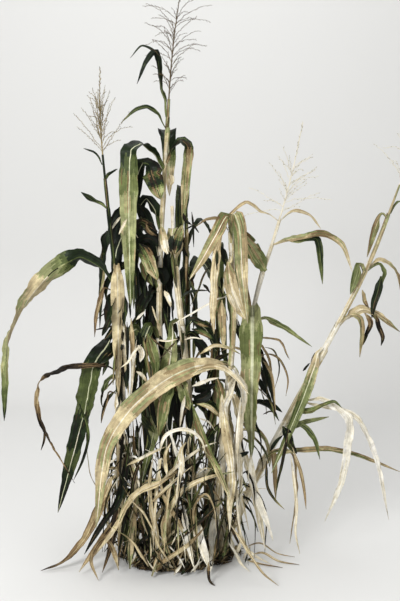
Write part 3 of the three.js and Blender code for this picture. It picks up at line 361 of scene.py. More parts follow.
# The loose and folded leaves that show most at the front, by the stem they belong to. Each has its width,
# the share of it that has died back, its depth or the depths of its root and tip, its tones, and its marks
# as (x, height). Tones and marks run from root to tip.
# The near-black straps are partly dark leaves and partly painted shade, dark sheets laid in the shadowed gaps
# between the leaves.
STRAPS = {
    "left_culm": [
        (11, 0.2, -150, (0.1, 0.2, 0.08, 0.1),
         [(-292, 540), (-272, 478), (-268, 428), (-284, 366), (-312, 304)]),
        (8, 1, -60, (0.2, 0.1), [(-412, 442), (-416, 402), (-426, 370)]),
        (25, 0.2, 30, (0.04, 0.02, 0.06),
         [(-172, 1132), (-188, 1070), (-192, 1006), (-184, 944), (-190, 878)]),
        (19, 0.2, 15, (0.05, 0.03, 0.1), [(-178, 1126), (-202, 1082), (-216, 1046)]),
        (8, 1, -20, (0.8, 0.9, 0.85), [(-172, 1098), (-188, 1078), (-202, 1056)]),
        (9, 1, -95, (0.72, 0.82, 0.7), [(-148, 1092), (-160, 1070), (-172, 1046)]),
        (17, 0.5, 10, (0.05, 0.03, 0.3, 0.6),
         [(-218, 1052), (-232, 1030), (-228, 1004), (-236, 968), (-236, 930)]),
        (9, 0.6, 0, (0.4, 0.5, 0.4), [(-232, 956), (-228, 912), (-238, 864), (-248, 798)]),
        (5, 1, -60, (0.3, 0.2), [(-184, 850), (-208, 834), (-230, 806)]),
        (5, 1, -60, (0.1, 0.1), [(-184, 822), (-214, 806), (-246, 784)]),
        (7, 1, -50, (0.05, 0.1, 0.05), [(-182, 764), (-218, 756), (-256, 748)]),
        (22, 0.2, -50, (0.05, 0.2, 0.1), [(-188, 818), (-210, 776), (-232, 730)]),
        (19, 0.2, -40, (0.1, 0.25, 0.08), [(-180, 778), (-198, 750), (-226, 716)]),
        (28, 0.2, -60, (0.15, 0.2, 0.12), [(-182, 700), (-212, 670), (-240, 644)]),
        (5, 1, -50, (0.4, 0.3), [(-186, 604), (-214, 572), (-234, 550)]),
        (11, 0.5, -50, (0.2, 0.1, 0.15), [(-190, 560), (-216, 532), (-232, 490), (-238, 454)]),
        (14, 0.2, -62, (0.06, 0.04, 0.08), [(-182, 726), (-182, 626), (-180, 512)]),
        (11, 0.2, -66, (0.04, 0.04, 0.06), [(-170, 620), (-174, 570), (-168, 512)]),
        (12, 1, -70, (0.7, 0.75, 0.6, 0.7), [(-164, 782), (-162, 690), (-154, 596), (-148, 536)]),
        (8, 0.6, -74, (0.05, 0.05), [(-152, 778), (-150, 696), (-154, 622)]),
        (16, 1, -70, (0.6, 0.5, 0.65), [(-140, 788), (-138, 706), (-136, 634), (-142, 558)]),
        (9, 1, -84, (0.85, 0.8, 0.7), [(-122, 724), (-134, 654), (-140, 568), (-148, 530)]),
        (8, 1, -104, (0.75, 0.9, 0.8), [(-108, 712), (-130, 686), (-148, 658), (-172, 640)]),
        (19, 1, -92, (0.8, 0.9, 0.75), [(-118, 708), (-106, 684), (-112, 656)]),
        (12, 1, -90, (0.85, 0.95, 0.85), [(-150, 560), (-140, 544), (-128, 528)]),
        (9, 0.5, -72, (0.05, 0.04), [(-176, 854), (-168, 814), (-164, 764)]),
        (7, 0.5, -76, (0.05, 0.04), [(-146, 836), (-142, 814), (-142, 790)]),
    ],
    "tall_culm": [
        (60, 0.3, (-64, -56), (0.1, 0.06, 0.3, 0.15, 0.5, 0.4),
         [(-100, 1258), (-86, 1256), (-70, 1216), (-48, 1150)]),
        (21, 1, -24, (0.6, 0.75, 0.6), [(-22, 1226), (-17, 1210), (-20, 1190)]),
        (31, 0.15, -10, (0.06, 0.02, 0.05), [(-120, 1138), (-96, 1104), (-78, 1058), (-58, 1006)]),
        (31, 0.15, -20, (0.03, 0.02, 0.04), [(-58, 1006), (-82, 1028), (-108, 1026), (-126, 994)]),
        (28, 0.5, -26, (0.04, 0.3, 0.1), [(-60, 1050), (-88, 1068), (-112, 1080), (-128, 1050)]),
        (12, 1, -40, (0.3, 0.4, 0.2), [(-94, 1078), (-84, 1054), (-60, 1038)]),
        (46, 0.4, (-60, -50), (0.1, 0.3, 0.5, 0.56, 0.4),
         [(-114, 1016), (-96, 990), (-78, 950), (-58, 903)]),
        (28, 0.2, -20, (0.35, 0.4, 0.35), [(-104, 970), (-96, 926), (-74, 882)]),
        (40, 0.2, -10, (0.08, 0.05, 0.08), [(-60, 938), (-44, 916), (-40, 884)]),
        (37, 0.15, 30, (0.04, 0.02, 0.04), [(-38, 1004), (-26, 934), (-18, 848), (-12, 752)]),
        (31, 0.15, 34, (0.04, 0.02, 0.04), [(-46, 880), (-46, 816), (-56, 736)]),
        (14, 0.3, -50, (0.3, 0.25, 0.1), [(-14, 990), (-8, 934), (-2, 880)]),
        (34, 0.3, 0, (0.1, 0.05, 0.2, 0.08), [(-72, 868), (-98, 842), (-116, 804), (-126, 760)]),
        (22, 0.2, 10, (0.06, 0.04, 0.05), [(-82, 872), (-76, 820), (-80, 752), (-62, 692)]),
        (6, 1, -20, (0.6, 0.7, 0.5), [(-78, 820), (-68, 788), (-56, 756)]),
        (16, 0.3, -10, (0.1, 0.2, 0.1), [(-44, 812), (-32, 758), (-22, 704)]),
        (8, 1, -100, (0.85, 0.95, 0.8), [(-122, 788), (-110, 800), (-96, 814)]),
        (11, 0.6, -30, (0.1, 0.05, 0.1), [(20, 1108), (26, 1086), (46, 1072)]),
        (9, 0.8, -30, (0.5, 0.4, 0.3), [(34, 1080), (32, 1010), (28, 934), (28, 868)]),
        (12, 0.6, -34, (0.05, 0.1, 0.05), [(16, 1014), (22, 992), (34, 974)]),
        (7, 0.6, -40, (0.05, 0.1), [(46, 1112), (50, 1072), (52, 1004)]),
        (6, 0.6, -44, (0.1, 0.05), [(50, 1076), (68, 1048)]),
        (6, 0.6, -44, (0.1, 0.05), [(50, 1072), (28, 1060)]),
    ],
    "second_culm": [
        (28, 0.8, -84, (0.75, 0.8, 0.6, 0.5), [(-26, 986), (-34, 1020), (-40, 1052), (-46, 1070)]),
        (31, 0.4, -84, (0.3, 0.12, 0.4, 0.5), [(-4, 986), (4, 1020), (12, 1050), (18, 1074)]),
        (16, 0.3, -90, (0.1, 0.02, 0.2), [(-16, 992), (-18, 1016), (-12, 1046)]),
        (16, 1, -60, (0.7, 0.85, 0.7), [(-38, 872), (-26, 850), (-18, 822)]),
        (31, 0.2, -80, (0.4, 0.4, 0.35, 0.4), [(-90, 742), (-76, 692), (-64, 642), (-74, 594)]),
        (12, 0.4, -86, (0.4, 0.35, 0.4), [(-102, 732), (-96, 686), (-88, 636), (-80, 592)]),
        (12, 1, -84, (0.75, 0.8, 0.6), [(-124, 626), (-106, 612), (-92, 592)]),
        (28, 0.2, -50, (0.04, 0.03, 0.06), [(-118, 742), (-112, 692), (-112, 616)]),
        (6, 0.8, -90, (0.3, 0.2, 0.3), [(-82, 734), (-56, 712), (-32, 694), (-14, 684)]),
        (6, 0.8, -90, (0.2, 0.15), [(-2, 720), (-26, 694), (-54, 662)]),
        (28, 0.15, -20, (0.04, 0.02, 0.05), [(-54, 726), (-44, 666), (-54, 592)]),
        (28, 0.15, -24, (0.05, 0.03, 0.05), [(-20, 714), (-22, 656), (-32, 586)]),
        (6, 1, -110, (0.72, 0.82, 0.7), [(-62, 728), (-26, 724), (4, 730)]),
        (9, 1, -60, (0.7, 0.85), [(-28, 694), (-18, 672)]),
        (37, 0.15, -118, (0.35, 0.4, 0.45, 0.35), [(-8, 600), (-32, 550), (-44, 488), (-54, 432)]),
        (40, 0.3, -110, (0.3, 0.5, 0.4, 0.5), [(14, 614), (22, 574), (32, 536), (40, 510)]),
        (11, 1, -116, (0.7, 0.85, 0.8), [(26, 556), (16, 512), (10, 460)]),
        (25, 0.2, -90, (0.25, 0.2, 0.3), [(-108, 494), (-88, 462), (-68, 434)]),
        (16, 0.2, -88, (0.05, 0.03, 0.05), [(-82, 558), (-74, 506), (-62, 448)]),
        (31, 0.15, -50, (0.05, 0.02, 0.04), [(-4, 554), (0, 502), (2, 438)]),
        (31, 0.15, -50, (0.05, 0.02, 0.04), [(34, 534), (34, 490), (40, 432)]),
    ],
    "pale_culm": [
        (12, 0.5, -80, (0.2, 0.1, 0.15, 0.1), [(14, 852), (40, 868), (72, 874), (98, 874)]),
        (11, 0.5, -82, (0.1, 0.05), [(80, 894), (92, 886), (102, 868)]),
        (6, 0.8, -100, (0.15, 0.2, 0.3), [(116, 952), (96, 944), (80, 918), (66, 878), (42, 830)]),
        (28, 1, -110, (0.5, 0.62, 0.7, 0.6, 0.55),
         [(136, 1042), (122, 982), (116, 924), (114, 874), (110, 812), (114, 746)]),
        (9, 0.4, -114, (0.15, 0.1), [(122, 1000), (122, 964), (128, 926)]),
        (22, 0.3, -90, (0.03, 0.1, 0.25), [(132, 1010), (144, 980), (156, 942)]),
        (43, 0.8, -100, (0.5, 0.62, 0.72, 0.6), [(156, 964), (164, 894), (184, 838), (210, 788)]),
        (28, 0.8, -96, (0.55, 0.65, 0.6, 0.4), [(194, 962), (202, 908), (214, 860), (226, 826)]),
        (25, 0.8, -98, (0.5, 0.55, 0.5, 0.6), [(138, 848), (138, 780), (144, 700)]),
        (22, 0.2, -60, (0.04, 0.03, 0.1), [(172, 794), (186, 762), (200, 712)]),
        (9, 0.4, -70, (0.05, 0.05), [(136, 916), (136, 894), (138, 878)]),
        (16, 0.4, -84, (0.1, 0.3, 0.1), [(46, 782), (80, 772), (108, 760)]),
        (17, 0.4, -86, (0.08, 0.3, 0.1), [(46, 758), (80, 746), (118, 720)]),
        (28, 0.2, -60, (0.04, 0.03, 0.05), [(52, 726), (78, 700), (100, 670)]),
        (11, 0.2, -80, (0.05, 0.04), [(118, 756), (118, 716), (112, 672)]),
        (6, 1, -124, (0.72, 0.82, 0.7), [(24, 730), (50, 736), (80, 732)]),
        (11, 0.8, -124, (0.5, 0.7, 0.6, 0.4), [(68, 684), (92, 700), (114, 712), (156, 706), (194, 686)]),
        (16, 0.6, -146, (0.6, 0.5, 0.7, 0.7, 0.6),
         [(54, 630), (78, 648), (114, 654), (152, 642), (186, 612), (218, 568)]),
        (11, 1, -144, (0.72, 0.82, 0.7), [(48, 592), (74, 602), (102, 612), (128, 618)]),
        (37, 1, -130, (0.75, 0.85, 0.7, 0.75, 0.65),
         [(174, 646), (190, 602), (198, 560), (190, 510), (184, 442), (182, 360)]),
        (16, 1, -134, (0.75, 0.85, 0.7), [(180, 616), (162, 566), (146, 522), (156, 468), (174, 404)]),
        (28, 0.3, -100, (0.3, 0.35, 0.3), [(124, 608), (136, 558), (126, 508)]),
        (43, 0.2, -70, (0.04, 0.02, 0.04), [(52, 584), (84, 570), (120, 584)]),
        (37, 0.2, -70, (0.04, 0.02, 0.04), [(52, 532), (80, 540), (106, 562)]),
        (14, 0.6, -110, (0.5, 0.6, 0.4), [(62, 530), (92, 524), (118, 504), (142, 480)]),
        (6, 1, -120, (0.8, 0.7), [(68, 488), (96, 476), (118, 448)]),
        (19, 0.3, -114, (0.2, 0.25, 0.2), [(90, 414), (114, 450), (142, 478)]),
        (16, 0.3, -100, (0.04, 0.03, 0.05), [(192, 464), (198, 414), (210, 366)]),
        (16, 0.3, -110, (0.05, 0.04), [(188, 366), (204, 372), (222, 380)]),
    ],
    "right_culm": [
        (50, 0.2, -10, (0.4, 0.45, 0.5, 0.45), [(276, 928), (248, 968), (220, 1010), (188, 1044)]),
        (28, 0.2, -40, (0.04, 0.1, 0.03, 0.05), [(264, 662), (278, 614), (290, 558), (304, 506)]),
        (16, 0.3, -40, (0.05, 0.04), [(250, 600), (262, 574), (280, 544)]),
        (19, 0.3, -30, (0.05, 0.03, 0.05), [(264, 514), (278, 524), (300, 510), (330, 484)]),
        (6, 0.8, -30, (0.2, 0.15), [(270, 478), (292, 488), (314, 478)]),
        (7, 0.8, -20, (0.4, 0.3, 0.4),
         [(266, 666), (290, 668), (316, 656), (334, 630), (348, 586), (342, 534)]),
        (7, 0.8, -10, (0.3, 0.15, 0.4), [(276, 688), (300, 680), (316, 650), (320, 612), (306, 552)]),
        (6, 0.8, 0, (0.2, 0.1), [(332, 702), (340, 678), (350, 652)]),
    ],
    "leaning_culm": [
        (9, 0.3, 30, (0.05, 0.1), [(400, 604), (410, 618), (422, 630)]),
        (16, 0.8, 40, (0.5, 0.3, 0.1, 0.3), [(594, 792), (616, 760), (604, 722), (592, 686)]),
        (16, 0.8, 40, (0.4, 0.1, 0.2, 0.1), [(632, 786), (642, 748), (656, 712), (650, 684)]),
        (12, 0.8, 44, (0.5, 0.4, 0.2), [(610, 792), (632, 774), (644, 734)]),
        (16, 0.8, 40, (0.5, 0.4, 0.3), [(586, 864), (592, 832), (608, 806)]),
        (25, 0.3, 36, (0.2, 0.12, 0.15, 0.1), [(644, 908), (636, 864), (624, 820), (618, 774)]),
        (28, 0.3, -10, (0.06, 0.04, 0.25, 0.05), [(334, 434), (348, 406), (360, 372), (380, 344)]),
        (12, 0.3, 0, (0.05, 0.08), [(296, 350), (314, 380), (336, 402)]),
        (9, 0.6, -6, (0.5, 0.3, 0.4), [(278, 328), (310, 348), (352, 356)]),
    ],
    "front_left_mass": [
        (24, 0.5, (-195, -175), (0.48, 0.6, 0.54, 0.66, 0.6),
         [(5, 344), (-50, 307), (-104, 282), (-148, 234), (-179, 168), (-262, 60)]),
        (24, 0.4, (-125, -155), (0.2, 0.08, 0.1, 0.06),
         [(-146, 409), (-158, 316), (-183, 230), (-226, 169), (-283, 70)]),
        (21, 0.5, (-155, -175), (0.54, 0.6, 0.48, 0.54),
         [(-144, 24), (-142, 118), (-128, 211), (-112, 290)]),
        (10, 1, (-165, -195), (0.6, 0.78, 0.6), [(-149, 354), (-80, 394), (-31, 420)]),
        (13, 0.3, (-165, -185), (0.2, 0.1, 0.15, 0.3),
         [(-84, 30), (-82, 142), (-99, 225), (-108, 310), (-90, 400)]),
        (15, 1, (-155, -195), (0.66, 0.72, 0.6, 0.72),
         [(-60, 30), (-61, 138), (-76, 221), (-80, 310), (-68, 390)]),
        (12, 0.5, (-145, -165), (0.12, 0.2, 0.1),
         [(-146, 200), (-125, 325), (-81, 422), (-93, 469), (-111, 488)]),
        (15, 1, (-145, -195), (0.6, 0.36, 0.6),
         [(-179, 16), (-201, 102), (-224, 126), (-259, 67), (-236, 4)]),
        (18, 1, -105, (0.36, 0.6, 0.48, 0.72), [(-183, 12), (-174, 147), (-176, 310), (-184, 470)]),
    ],
    "front_mass": [
        (19, 0.4, (-157, -215), (0.48, 0.54, 0.6, 0.66, 0.54),
         [(-3, 26), (-33, 104), (-38, 166), (-19, 226), (20, 284), (65, 315), (116, 335), (172, 350)]),
        (12, 1, (-195, -205), (0.75, 0.9, 0.85, 0.75),
         [(-50, 400), (-31, 452), (12, 473), (47, 467), (74, 443), (89, 400)]),
        (19, 1, (-205, -225), (0.6, 0.85, 0.7, 0.8),
         [(30, 436), (17, 414), (20, 369), (11, 313), (-1, 250)]),
        (11, 1, (-201, -209), (0.72, 0.6, 0.72), [(-27, 330), (-31, 400), (-14, 436)]),
        (10, 1, -195, (0.6, 0.84, 0.72), [(-50, 310), (26, 381), (80, 419), (120, 434)]),
        (11, 1, (-185, -215), (0.48, 0.72, 0.6), [(-82, 237), (-13, 313), (47, 366)]),
        (13, 0.5, (-155, -205), (0.1, 0.3, 0.15, 0.35),
         [(-116, 28), (-52, 91), (16, 137), (71, 185), (114, 229), (150, 268)]),
        (13, 1, (-155, -205), (0.36, 0.6, 0.24), [(-78, 24), (-15, 71), (41, 120), (90, 180)]),
        (13, 0.4, (-155, -185), (0.08, 0.12, 0.3, 0.15),
         [(-28, 26), (4, 138), (41, 221), (90, 316), (150, 400)]),
        (13, 1, (-165, -195), (0.72, 0.48, 0.72), [(59, 60), (10, 174), (-38, 266), (-50, 345)]),
        (20, 1, (-165, -195), (0.8, 0.9, 0.85, 0.7), [(22, 230), (32, 150), (41, 98), (53, 44)]),
        (30, 1, (-163, -195), (0.65, 0.88, 0.92, 0.8), [(59, 190), (71, 129), (84, 95), (99, 40)]),
        (10, 1, (-195, -229), (0.5, 0.2, 0.12), [(97, 62), (99, 12), (108, 4), (116, 4)]),
    ],
    "middle_mass": [
        (26, 0.3, (-175, -225), (0.3, 0.42, 0.36, 0.54, 0.6),
         [(47, 548), (80, 446), (107, 389), (137, 329), (162, 262)]),
        (29, 1, (-165, -205), (0.7, 0.6, 0.75, 0.7, 0.8),
         [(138, 548), (150, 456), (162, 381), (168, 321), (162, 244), (160, 160)]),
        (13, 1, (-155, -205), (0.8, 0.9, 0.7, 0.85, 0.75),
         [(193, 560), (184, 425), (178, 335), (184, 244), (193, 156), (214, 90)]),
        (7, 1, (-165, -205), (0.7, 0.45, 0.6),
         [(71, 30), (59, 142), (53, 228), (89, 273), (114, 229), (120, 165)]),
        (13, 0.5, (-163, -175), (0.3, 0.2, 0.4), [(109, 40), (139, 190), (181, 253), (216, 310)]),
        (9, 1, (-195, -235), (0.7, 0.6, 0.45), [(160, 184), (187, 146), (223, 90), (260, 40), (305, 6)]),
    ],
    "front_right_mass": [
        (25, 1, (-80, -120), (0.8, 0.85, 0.9, 0.85),
         [(228, 372), (233, 281), (252, 220), (277, 159), (298, 100)]),
        (10, 0.6, (-40, -60), (0.1, 0.15, 0.4), [(281, 330), (284, 248), (307, 208), (338, 178)]),
        (12, 0.6, (-30, -50), (0.15, 0.1, 0.3), [(351, 430), (338, 353), (322, 281), (308, 205)]),
        (11, 1, (-30, -50), (0.6, 0.48, 0.36), [(364, 370), (390, 294), (402, 231), (407, 175)]),
        (11, 1, (-50, -80), (0.8, 0.7, 0.8, 0.6),
         [(356, 350), (369, 268), (376, 186), (373, 107), (386, 40)]),
        (7, 1, (-40, -80), (0.4, 0.6, 0.3), [(235, 20), (270, 34), (320, 12), (384, 5)]),
        (5, 1, (-30, -60), (0.3, 0.5, 0.3), [(210, 40), (262, 60), (318, 30), (372, 22)]),
        (5, 1, (-60, -100), (0.5, 0.3), [(206, 16), (262, 8), (330, 4)]),
    ],
}

# Shapes that the source has too.
JOINT_SWELL = 1.16
FLARE_HEIGHT = 55
FLARE = 0.45
BLADE_KNEE = (0.42, 0.62)
GOLDEN = 2.39996
CROWN_ACROSS, CROWN_DEEP, CROWN_HEIGHT = 192 * MM, 126 * MM, 30 * MM

# What lies lower than this is lifted on to the ground.
LEAST_HEIGHT = 0.0004

# A blade wider than this, in millimetres, is a broad one and shows its midrib.
BROAD = 40

# How much a blade is crumpled when sound, and how much more when dead.
CRUMPLED = 0.08

# The columns of faces on each side of a midrib, and how far tones wander, on a slim and on a broad blade.
BLADE_COLUMNS = (4, 8)
BLADE_STREAK = (0.05, 0.025)

# The build of a blade, in metres, degrees and shares of its half width.
CLASP = (0.012, 0.07)
ROLL_SWAY = 6
MARGIN_SWAY = 0.07
LEAST_HALF = 0.0007
BEND_SHARE = 0.8
BEND_EASE = 0.12
RIB_HALF = (0.0019, 0.0007)
RIB_BLADE_WIDTH = 0.05
RIB_SHARE = 0.45
RIB_DEPTH = 0.0016
COLUMN_SPAN = (0.2, 0.78)
MARGIN_COLUMNS = [0.95, 1.0]
FRILL = (0.03, 0.12)
PUCKER = (0.02, 0.09)
WRAP = 2.3
UNDERSIDE = 0.2
UNDERSIDE_TONE = 0.08

# The build of a sheath, in metres, for a loose one where looseness counts.
SHEATH_ROW = 0.009
SHEATH_AROUND = 22
SHEATH_LAP = 1.08
SHEATH_FIT = (1.12, 1.05)
SHEATH_GAP = 0.0004
SHEATH_FLARE = 0.0022
SHEATH_WOBBLE = 0.0008
SHEATH_OVERLAP = 0.0011
SHEATH_PEEL = 0.005
SHEATH_WALL = 0.0006
SHEATH_RAG = 0.016

# The build of a culm, and how far its joints swell and their colour reaches to each side, in metres.
CULM_FOOT = 0.002
CULM_ROW = 0.008
CULM_SIDES = 14
JOINT_REACH = 0.005
JOINT_BAND = 0.0045

# How far tones wander on culms and sheaths, how sheaths differ, and the shares that have died back.
CULM_STREAK, CULM_DRY = 0.06, 0.3
SHEATH_STREAK, SHEATH_DRY = 0.1, 0.4
SHEATH_TINT = (-0.12, 0.12)

# How far from upright a withered leaf leans at its foot and at its tip.
WITHERED_LEAN = (70, 150)
WITHERED_HANG = (150, 190)

# The finer straps of a low mass, by how they grow: where on the tiller they root, how far from upright they
# lean at the root, how far at the tip, or how much further than at the root, and their lengths. Some hang
# from the tiller, some cross each other above the crown, and the rest rise beside it.
Strand = namedtuple("Strand", "root start end length")
HANGING = Strand((0.4, 0.95), (30, 100), (120, 180), (0.1, 0.24))
CROSSING = Strand((0.02, 0.12), (25, 70), (0, 70), (0.16, 0.42))
RISING = Strand((0.1, 0.8), (-60, 80), (20, 90), (0.12, 0.3))
STRAND_WIDTH = (4, 14)

# The distance from a culm to the foot of the blade that clasps it.
COLLAR_GAP = 0.0012

# Straps wider than this, in millimetres, have more columns of faces.
BROAD_STRAP = 24

# The crown's mat, and the dead straps and fibres on it.
CROWN_ROWS, CROWN_AROUND = 16, 72
FIBRE_LENGTH = (0.02, 0.1)
FIBRE_RADIUS = (0.0008, 0.0042)
FIBRE_LIFT = (0.001, 0.01)
FIBRE_ARCH = (0.002, 0.018)

# The spike and branches of a tassel, from foot to tip, and how far the branches sway.
SPIKE_RADIUS = (0.0022, 0.0007)
BRANCH_RADIUS = (0.0007, 0.0003)
BRANCH_SWAY = 0.0025

# How the finer branches of a tassel stray from the source's along the spike, in spread, reach and arch.
STRAY_ALONG = (-0.12, 0.12)
STRAY_SPREAD = (0.4, 1.5)
STRAY_REACH = (0.35, 1.0)
STRAY_ARCH = (-0.2, 0.8)

# The lengths of a tassel's spikelets and how far apart they stand, on the spike and on the branches.
SPIKE_SPIKELET, SPIKE_SPACING = 0.008, 0.004
BRANCH_SPIKELET, BRANCH_SPACING = 0.0062, 0.0055

# The distance round a tube that one radian of turn takes on its material.
TURN_WIDTH = 0.012

# The first seed of each operator's random draws.
CULM_SEED, LEAF_SEED, LOW_SEED, CROWN_SEED, TASSEL_SEED = 100, 300, 500, 71, 700


def mix(a, b, share):
    return a + (b - a) * share


def smooth(x, low, high):
    share = np.clip((x - low) / (high - low), 0, 1)
    return share * share * (3 - 2 * share)


def unit(v):
    return v / np.maximum(np.linalg.norm(v, axis=-1, keepdims=True), 1e-12)


def read(values, s):
    """Evenly spaced values, read smoothly between them."""
    values = np.array(values, float)
    place = np.clip(s, 0, 1) * (len(values) - 1)
    i = np.minimum(place.astype(int), len(values) - 2)
    return mix(values[i], values[i + 1], smooth(place - i, 0, 1))


def seeded(seed):
    """Numbers between 0 and 1 that are the same on each run, and the same as the source's."""
    state = [(seed * 7919 + 17) & 0xFFFFFFFF]

    def draw():
        state[0] = (state[0] * 1664525 + 1013904223) & 0xFFFFFFFF
        return state[0] / 4294967296

    return draw


def ripple(rng, x, shortest, longest, count=4):
    """A gentle random wave along x, between about -1 and 1."""
    total = np.zeros_like(x)
    for k in range(count):
        length = mix(longest, shortest, k / max(count - 1, 1)) * rng.uniform(0.8, 1.25)
        total = total + np.sin(2 * np.pi * (x / length + rng.random())) * (1 - 0.6 * k / count)
    return total / (count * 0.6)


def spline(points, count=300, crease=0.0):
    """The source's curve, centripetal Catmull-Rom, as evenly spaced values of its own parameter. crease pulls
    it towards the straight lines between its points."""
    given = np.array(points, float)
    p = np.vstack([2 * given[0] - given[1], given, 2 * given[-1] - given[-2]])
    t = np.linspace(0, len(given) - 1, count + 1)
    i = np.minimum(t.astype(int), len(given) - 2)
    w = (t - i)[:, None]
    p0, p1, p2, p3 = p[i], p[i + 1], p[i + 2], p[i + 3]
    spans = ((p0, p1), (p1, p2), (p2, p3))
    d0, d1, d2 = (np.sqrt(np.linalg.norm(b - a, axis=1))[:, None] for a, b in spans)
    start = ((p1 - p0) / d0 - (p2 - p0) / (d0 + d1) + (p2 - p1) / d1) * d1
    end = ((p2 - p1) / d1 - (p3 - p1) / (d1 + d2) + (p3 - p2) / d2) * d1
    curve = p1 + start * w + (3 * (p2 - p1) - 2 * start - end) * w**2 + (2 * (p1 - p2) + start + end) * w**3
    return mix(curve, p1 + (p2 - p1) * w, crease)


def bow(a, b, c, count=60):
    """A quadratic curve from a to c that b pulls on."""
    a, b, c = (np.array(p, float) for p in (a, b, c))
    t = np.linspace(0, 1, count + 1)[:, None]
    return a * (1 - t) ** 2 + 2 * b * t * (1 - t) + c * t**2


class Line:
    """A smooth line, read by the share of its length or by height."""

    def __init__(self, points):
        self.points = np.array(points, float)
        steps = np.linalg.norm(np.diff(self.points, axis=0), axis=1)
        self.run = np.concatenate([[0], np.cumsum(steps)])
        self.length = self.run[-1]
        self.own = np.linspace(0, 1, len(self.points))

    def at(self, share):
        run = np.asarray(share) * self.length
        return np.stack([np.interp(run, self.run, self.points[:, k]) for k in range(3)], axis=-1)

    def along(self, share):
        share = np.asarray(share, float)
        step = 1.5 / len(self.points)
        return unit(self.at(np.minimum(share + step, 1)) - self.at(np.maximum(share - step, 0)))

    def share_at_height(self, z):
        return np.interp(z, self.points[:, 2], self.run) / self.length

    def own_at_height(self, z):
        return np.interp(z, self.points[:, 2], self.own)

    def at_height(self, z):
        return self.at(self.share_at_height(z))


def stalk_line(culm):
    return Line(spline([(*culm.foot, 0), *culm.marks, culm.head]) * MM)


def stalk_radius(culm, line, z):
    """A culm's radius at a height, in metres."""
    flare = 1 + FLARE * (1 - smooth(z, 0, FLARE_HEIGHT * MM))
    return mix(*culm.radius, line.own_at_height(z)) * flare * MM


def joint_heights(culm, line):
    shares = [0.04 + 0.96 * joint / culm.joints for joint in range(1, culm.joints)]
    return [float(np.interp(share, line.own, line.points[:, 2])) for share in shares]


def flat_way(degrees):
    """The level direction of a compass heading."""
    heading = math.radians(degrees)
    return np.array([math.cos(heading), math.sin(heading), 0.0])


def blade_line(collar, blade):
    """A blade's line from inside the stem at its collar, past its marks, to the tip."""
    first_out, first_height = blade.marks[0]
    knee = (first_out * BLADE_KNEE[0], mix(blade.at, first_height, BLADE_KNEE[1]))
    heading = math.radians(blade.heading)
    points = [collar]
    for out, height in [knee, *blade.marks]:
        x = collar[0] + out * MM * math.cos(heading)
        y = collar[1] + out * MM * math.sin(heading)
        points.append([x, y, height * MM])
    return Line(spline(points, crease=blade.crease))


def blade_shape(s):
    return (0.5 + 0.5 * smooth(s, 0, 0.28)) * np.maximum(1 - s**2.4, 0) ** 0.8


def strap_shape(s):
    return (0.2 + 0.8 * smooth(s, 0, 0.24)) * np.maximum(1 - s**4, 0) ** 0.8


class Skin:
    """Gathers closed skins, with their places on the material and their slots, for one piece."""

    def __init__(self):
        self.points, self.loops, self.starts, self.slots, self.places = [], [], [], [], []
        self.count = 0
        self.corners = 0

    def loft(self, rings, places, slots):
        """Adds a closed skin: rings of points that wrap round, and a flat cap at each end. What would reach
        below the ground is lifted on to it."""
        rows, around = rings.shape[:2]
        sunk = np.maximum(LEAST_HEIGHT - rings[..., 2].min(axis=1), 0)
        rings[..., 2] += sunk[:, None]
        a = np.arange(around)
        b = (a + 1) % around
        row = np.arange(rows - 1)[:, None] * around
        quads = np.stack([row + a, row + b, row + around + b, row + around + a], axis=-1).reshape(-1, 4)
        ends = [a[::-1], a + (rows - 1) * around]
        middle = rings[rows // 2]
        spin = np.cross(middle - middle.mean(0), np.roll(middle, -1, axis=0) - middle.mean(0)).sum(0)
        travel = rings[min(rows // 2 + 1, rows - 1)].mean(0) - rings[max(rows // 2 - 1, 0)].mean(0)
        if spin @ travel <= 0:
            quads = quads[:, ::-1]
            ends = [end[::-1] for end in ends]
        faces = np.concatenate([quads.ravel(), *ends])
        starts = np.concatenate([np.arange(len(quads)) * 4, [len(quads) * 4, len(quads) * 4 + around]])
        self.points.append(rings.reshape(-1, 3))
        self.loops.append(faces + self.count)
        self.starts.append(starts + self.corners)
        self.slots.append(np.concatenate([slots.ravel(), [slots[0, 0], slots[-1, 0]]]))
        self.places.append(places.reshape(-1, 2)[faces])
        self.count += rows * around
        self.corners += len(faces)

    def piece(self, name, materials, replaces):
        """Makes the piece, which stands in for the named nodes of the frame."""
        mesh = bpy.data.meshes.new(name)
        points = np.concatenate(self.points)
        loops = np.concatenate(self.loops)
        starts = np.concatenate(self.starts)
        mesh.vertices.add(len(points))
        mesh.vertices.foreach_set("co", points.astype(np.float32).ravel())
        mesh.loops.add(len(loops))
        mesh.loops.foreach_set("vertex_index", loops.astype(np.int32))
        mesh.polygons.add(len(starts))
        mesh.polygons.foreach_set("loop_start", starts.astype(np.int32))
        mesh.polygons.foreach_set("use_smooth", np.ones(len(starts), bool))
        mesh.polygons.foreach_set("material_index", np.concatenate(self.slots).astype(np.int32))
        layer = mesh.uv_layers.new(name="Place")
        layer.data.foreach_set("uv", np.concatenate(self.places).astype(np.float32).ravel())
        mesh.update(calc_edges=True)
        mesh.validate()
        thing = bpy.data.objects.new(name, mesh)
        bpy.context.scene.collection.objects.link(thing)
        for material in materials:
            mesh.materials.append(material)
        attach(thing, "root")
        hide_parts(*replaces)


# Tones: the leaf finishes stand in two rows, green and dry, each from dark to pale, then the midribs. The
# darkest finish of each row is partly dark leaf and partly painted shade, near black for the deep shadow
# among the leaves.
GREEN = 5
DRY = 7
PALEST_GREEN = 0.58
RIB_GREEN = GREEN + DRY
RIB_DRY = RIB_GREEN + 1
JOINT_SLOT = GREEN + 2

# The lengths over which tones change along a leaf, in metres.
LONG_STREAK = 0.11
SHORT_STREAK = 0.03
PATCH = 0.09


def tone_slot(tone, dried):
    """The slot for each tone. What has paled or died back takes a dry finish."""
    tone = np.clip(tone, 0, 0.999)
    green = np.minimum((tone / PALEST_GREEN * GREEN).astype(int), GREEN - 1)
    dry = GREEN + np.minimum((tone * DRY).astype(int), DRY - 1)
    return np.where((tone > PALEST_GREEN) | dried, dry, green)


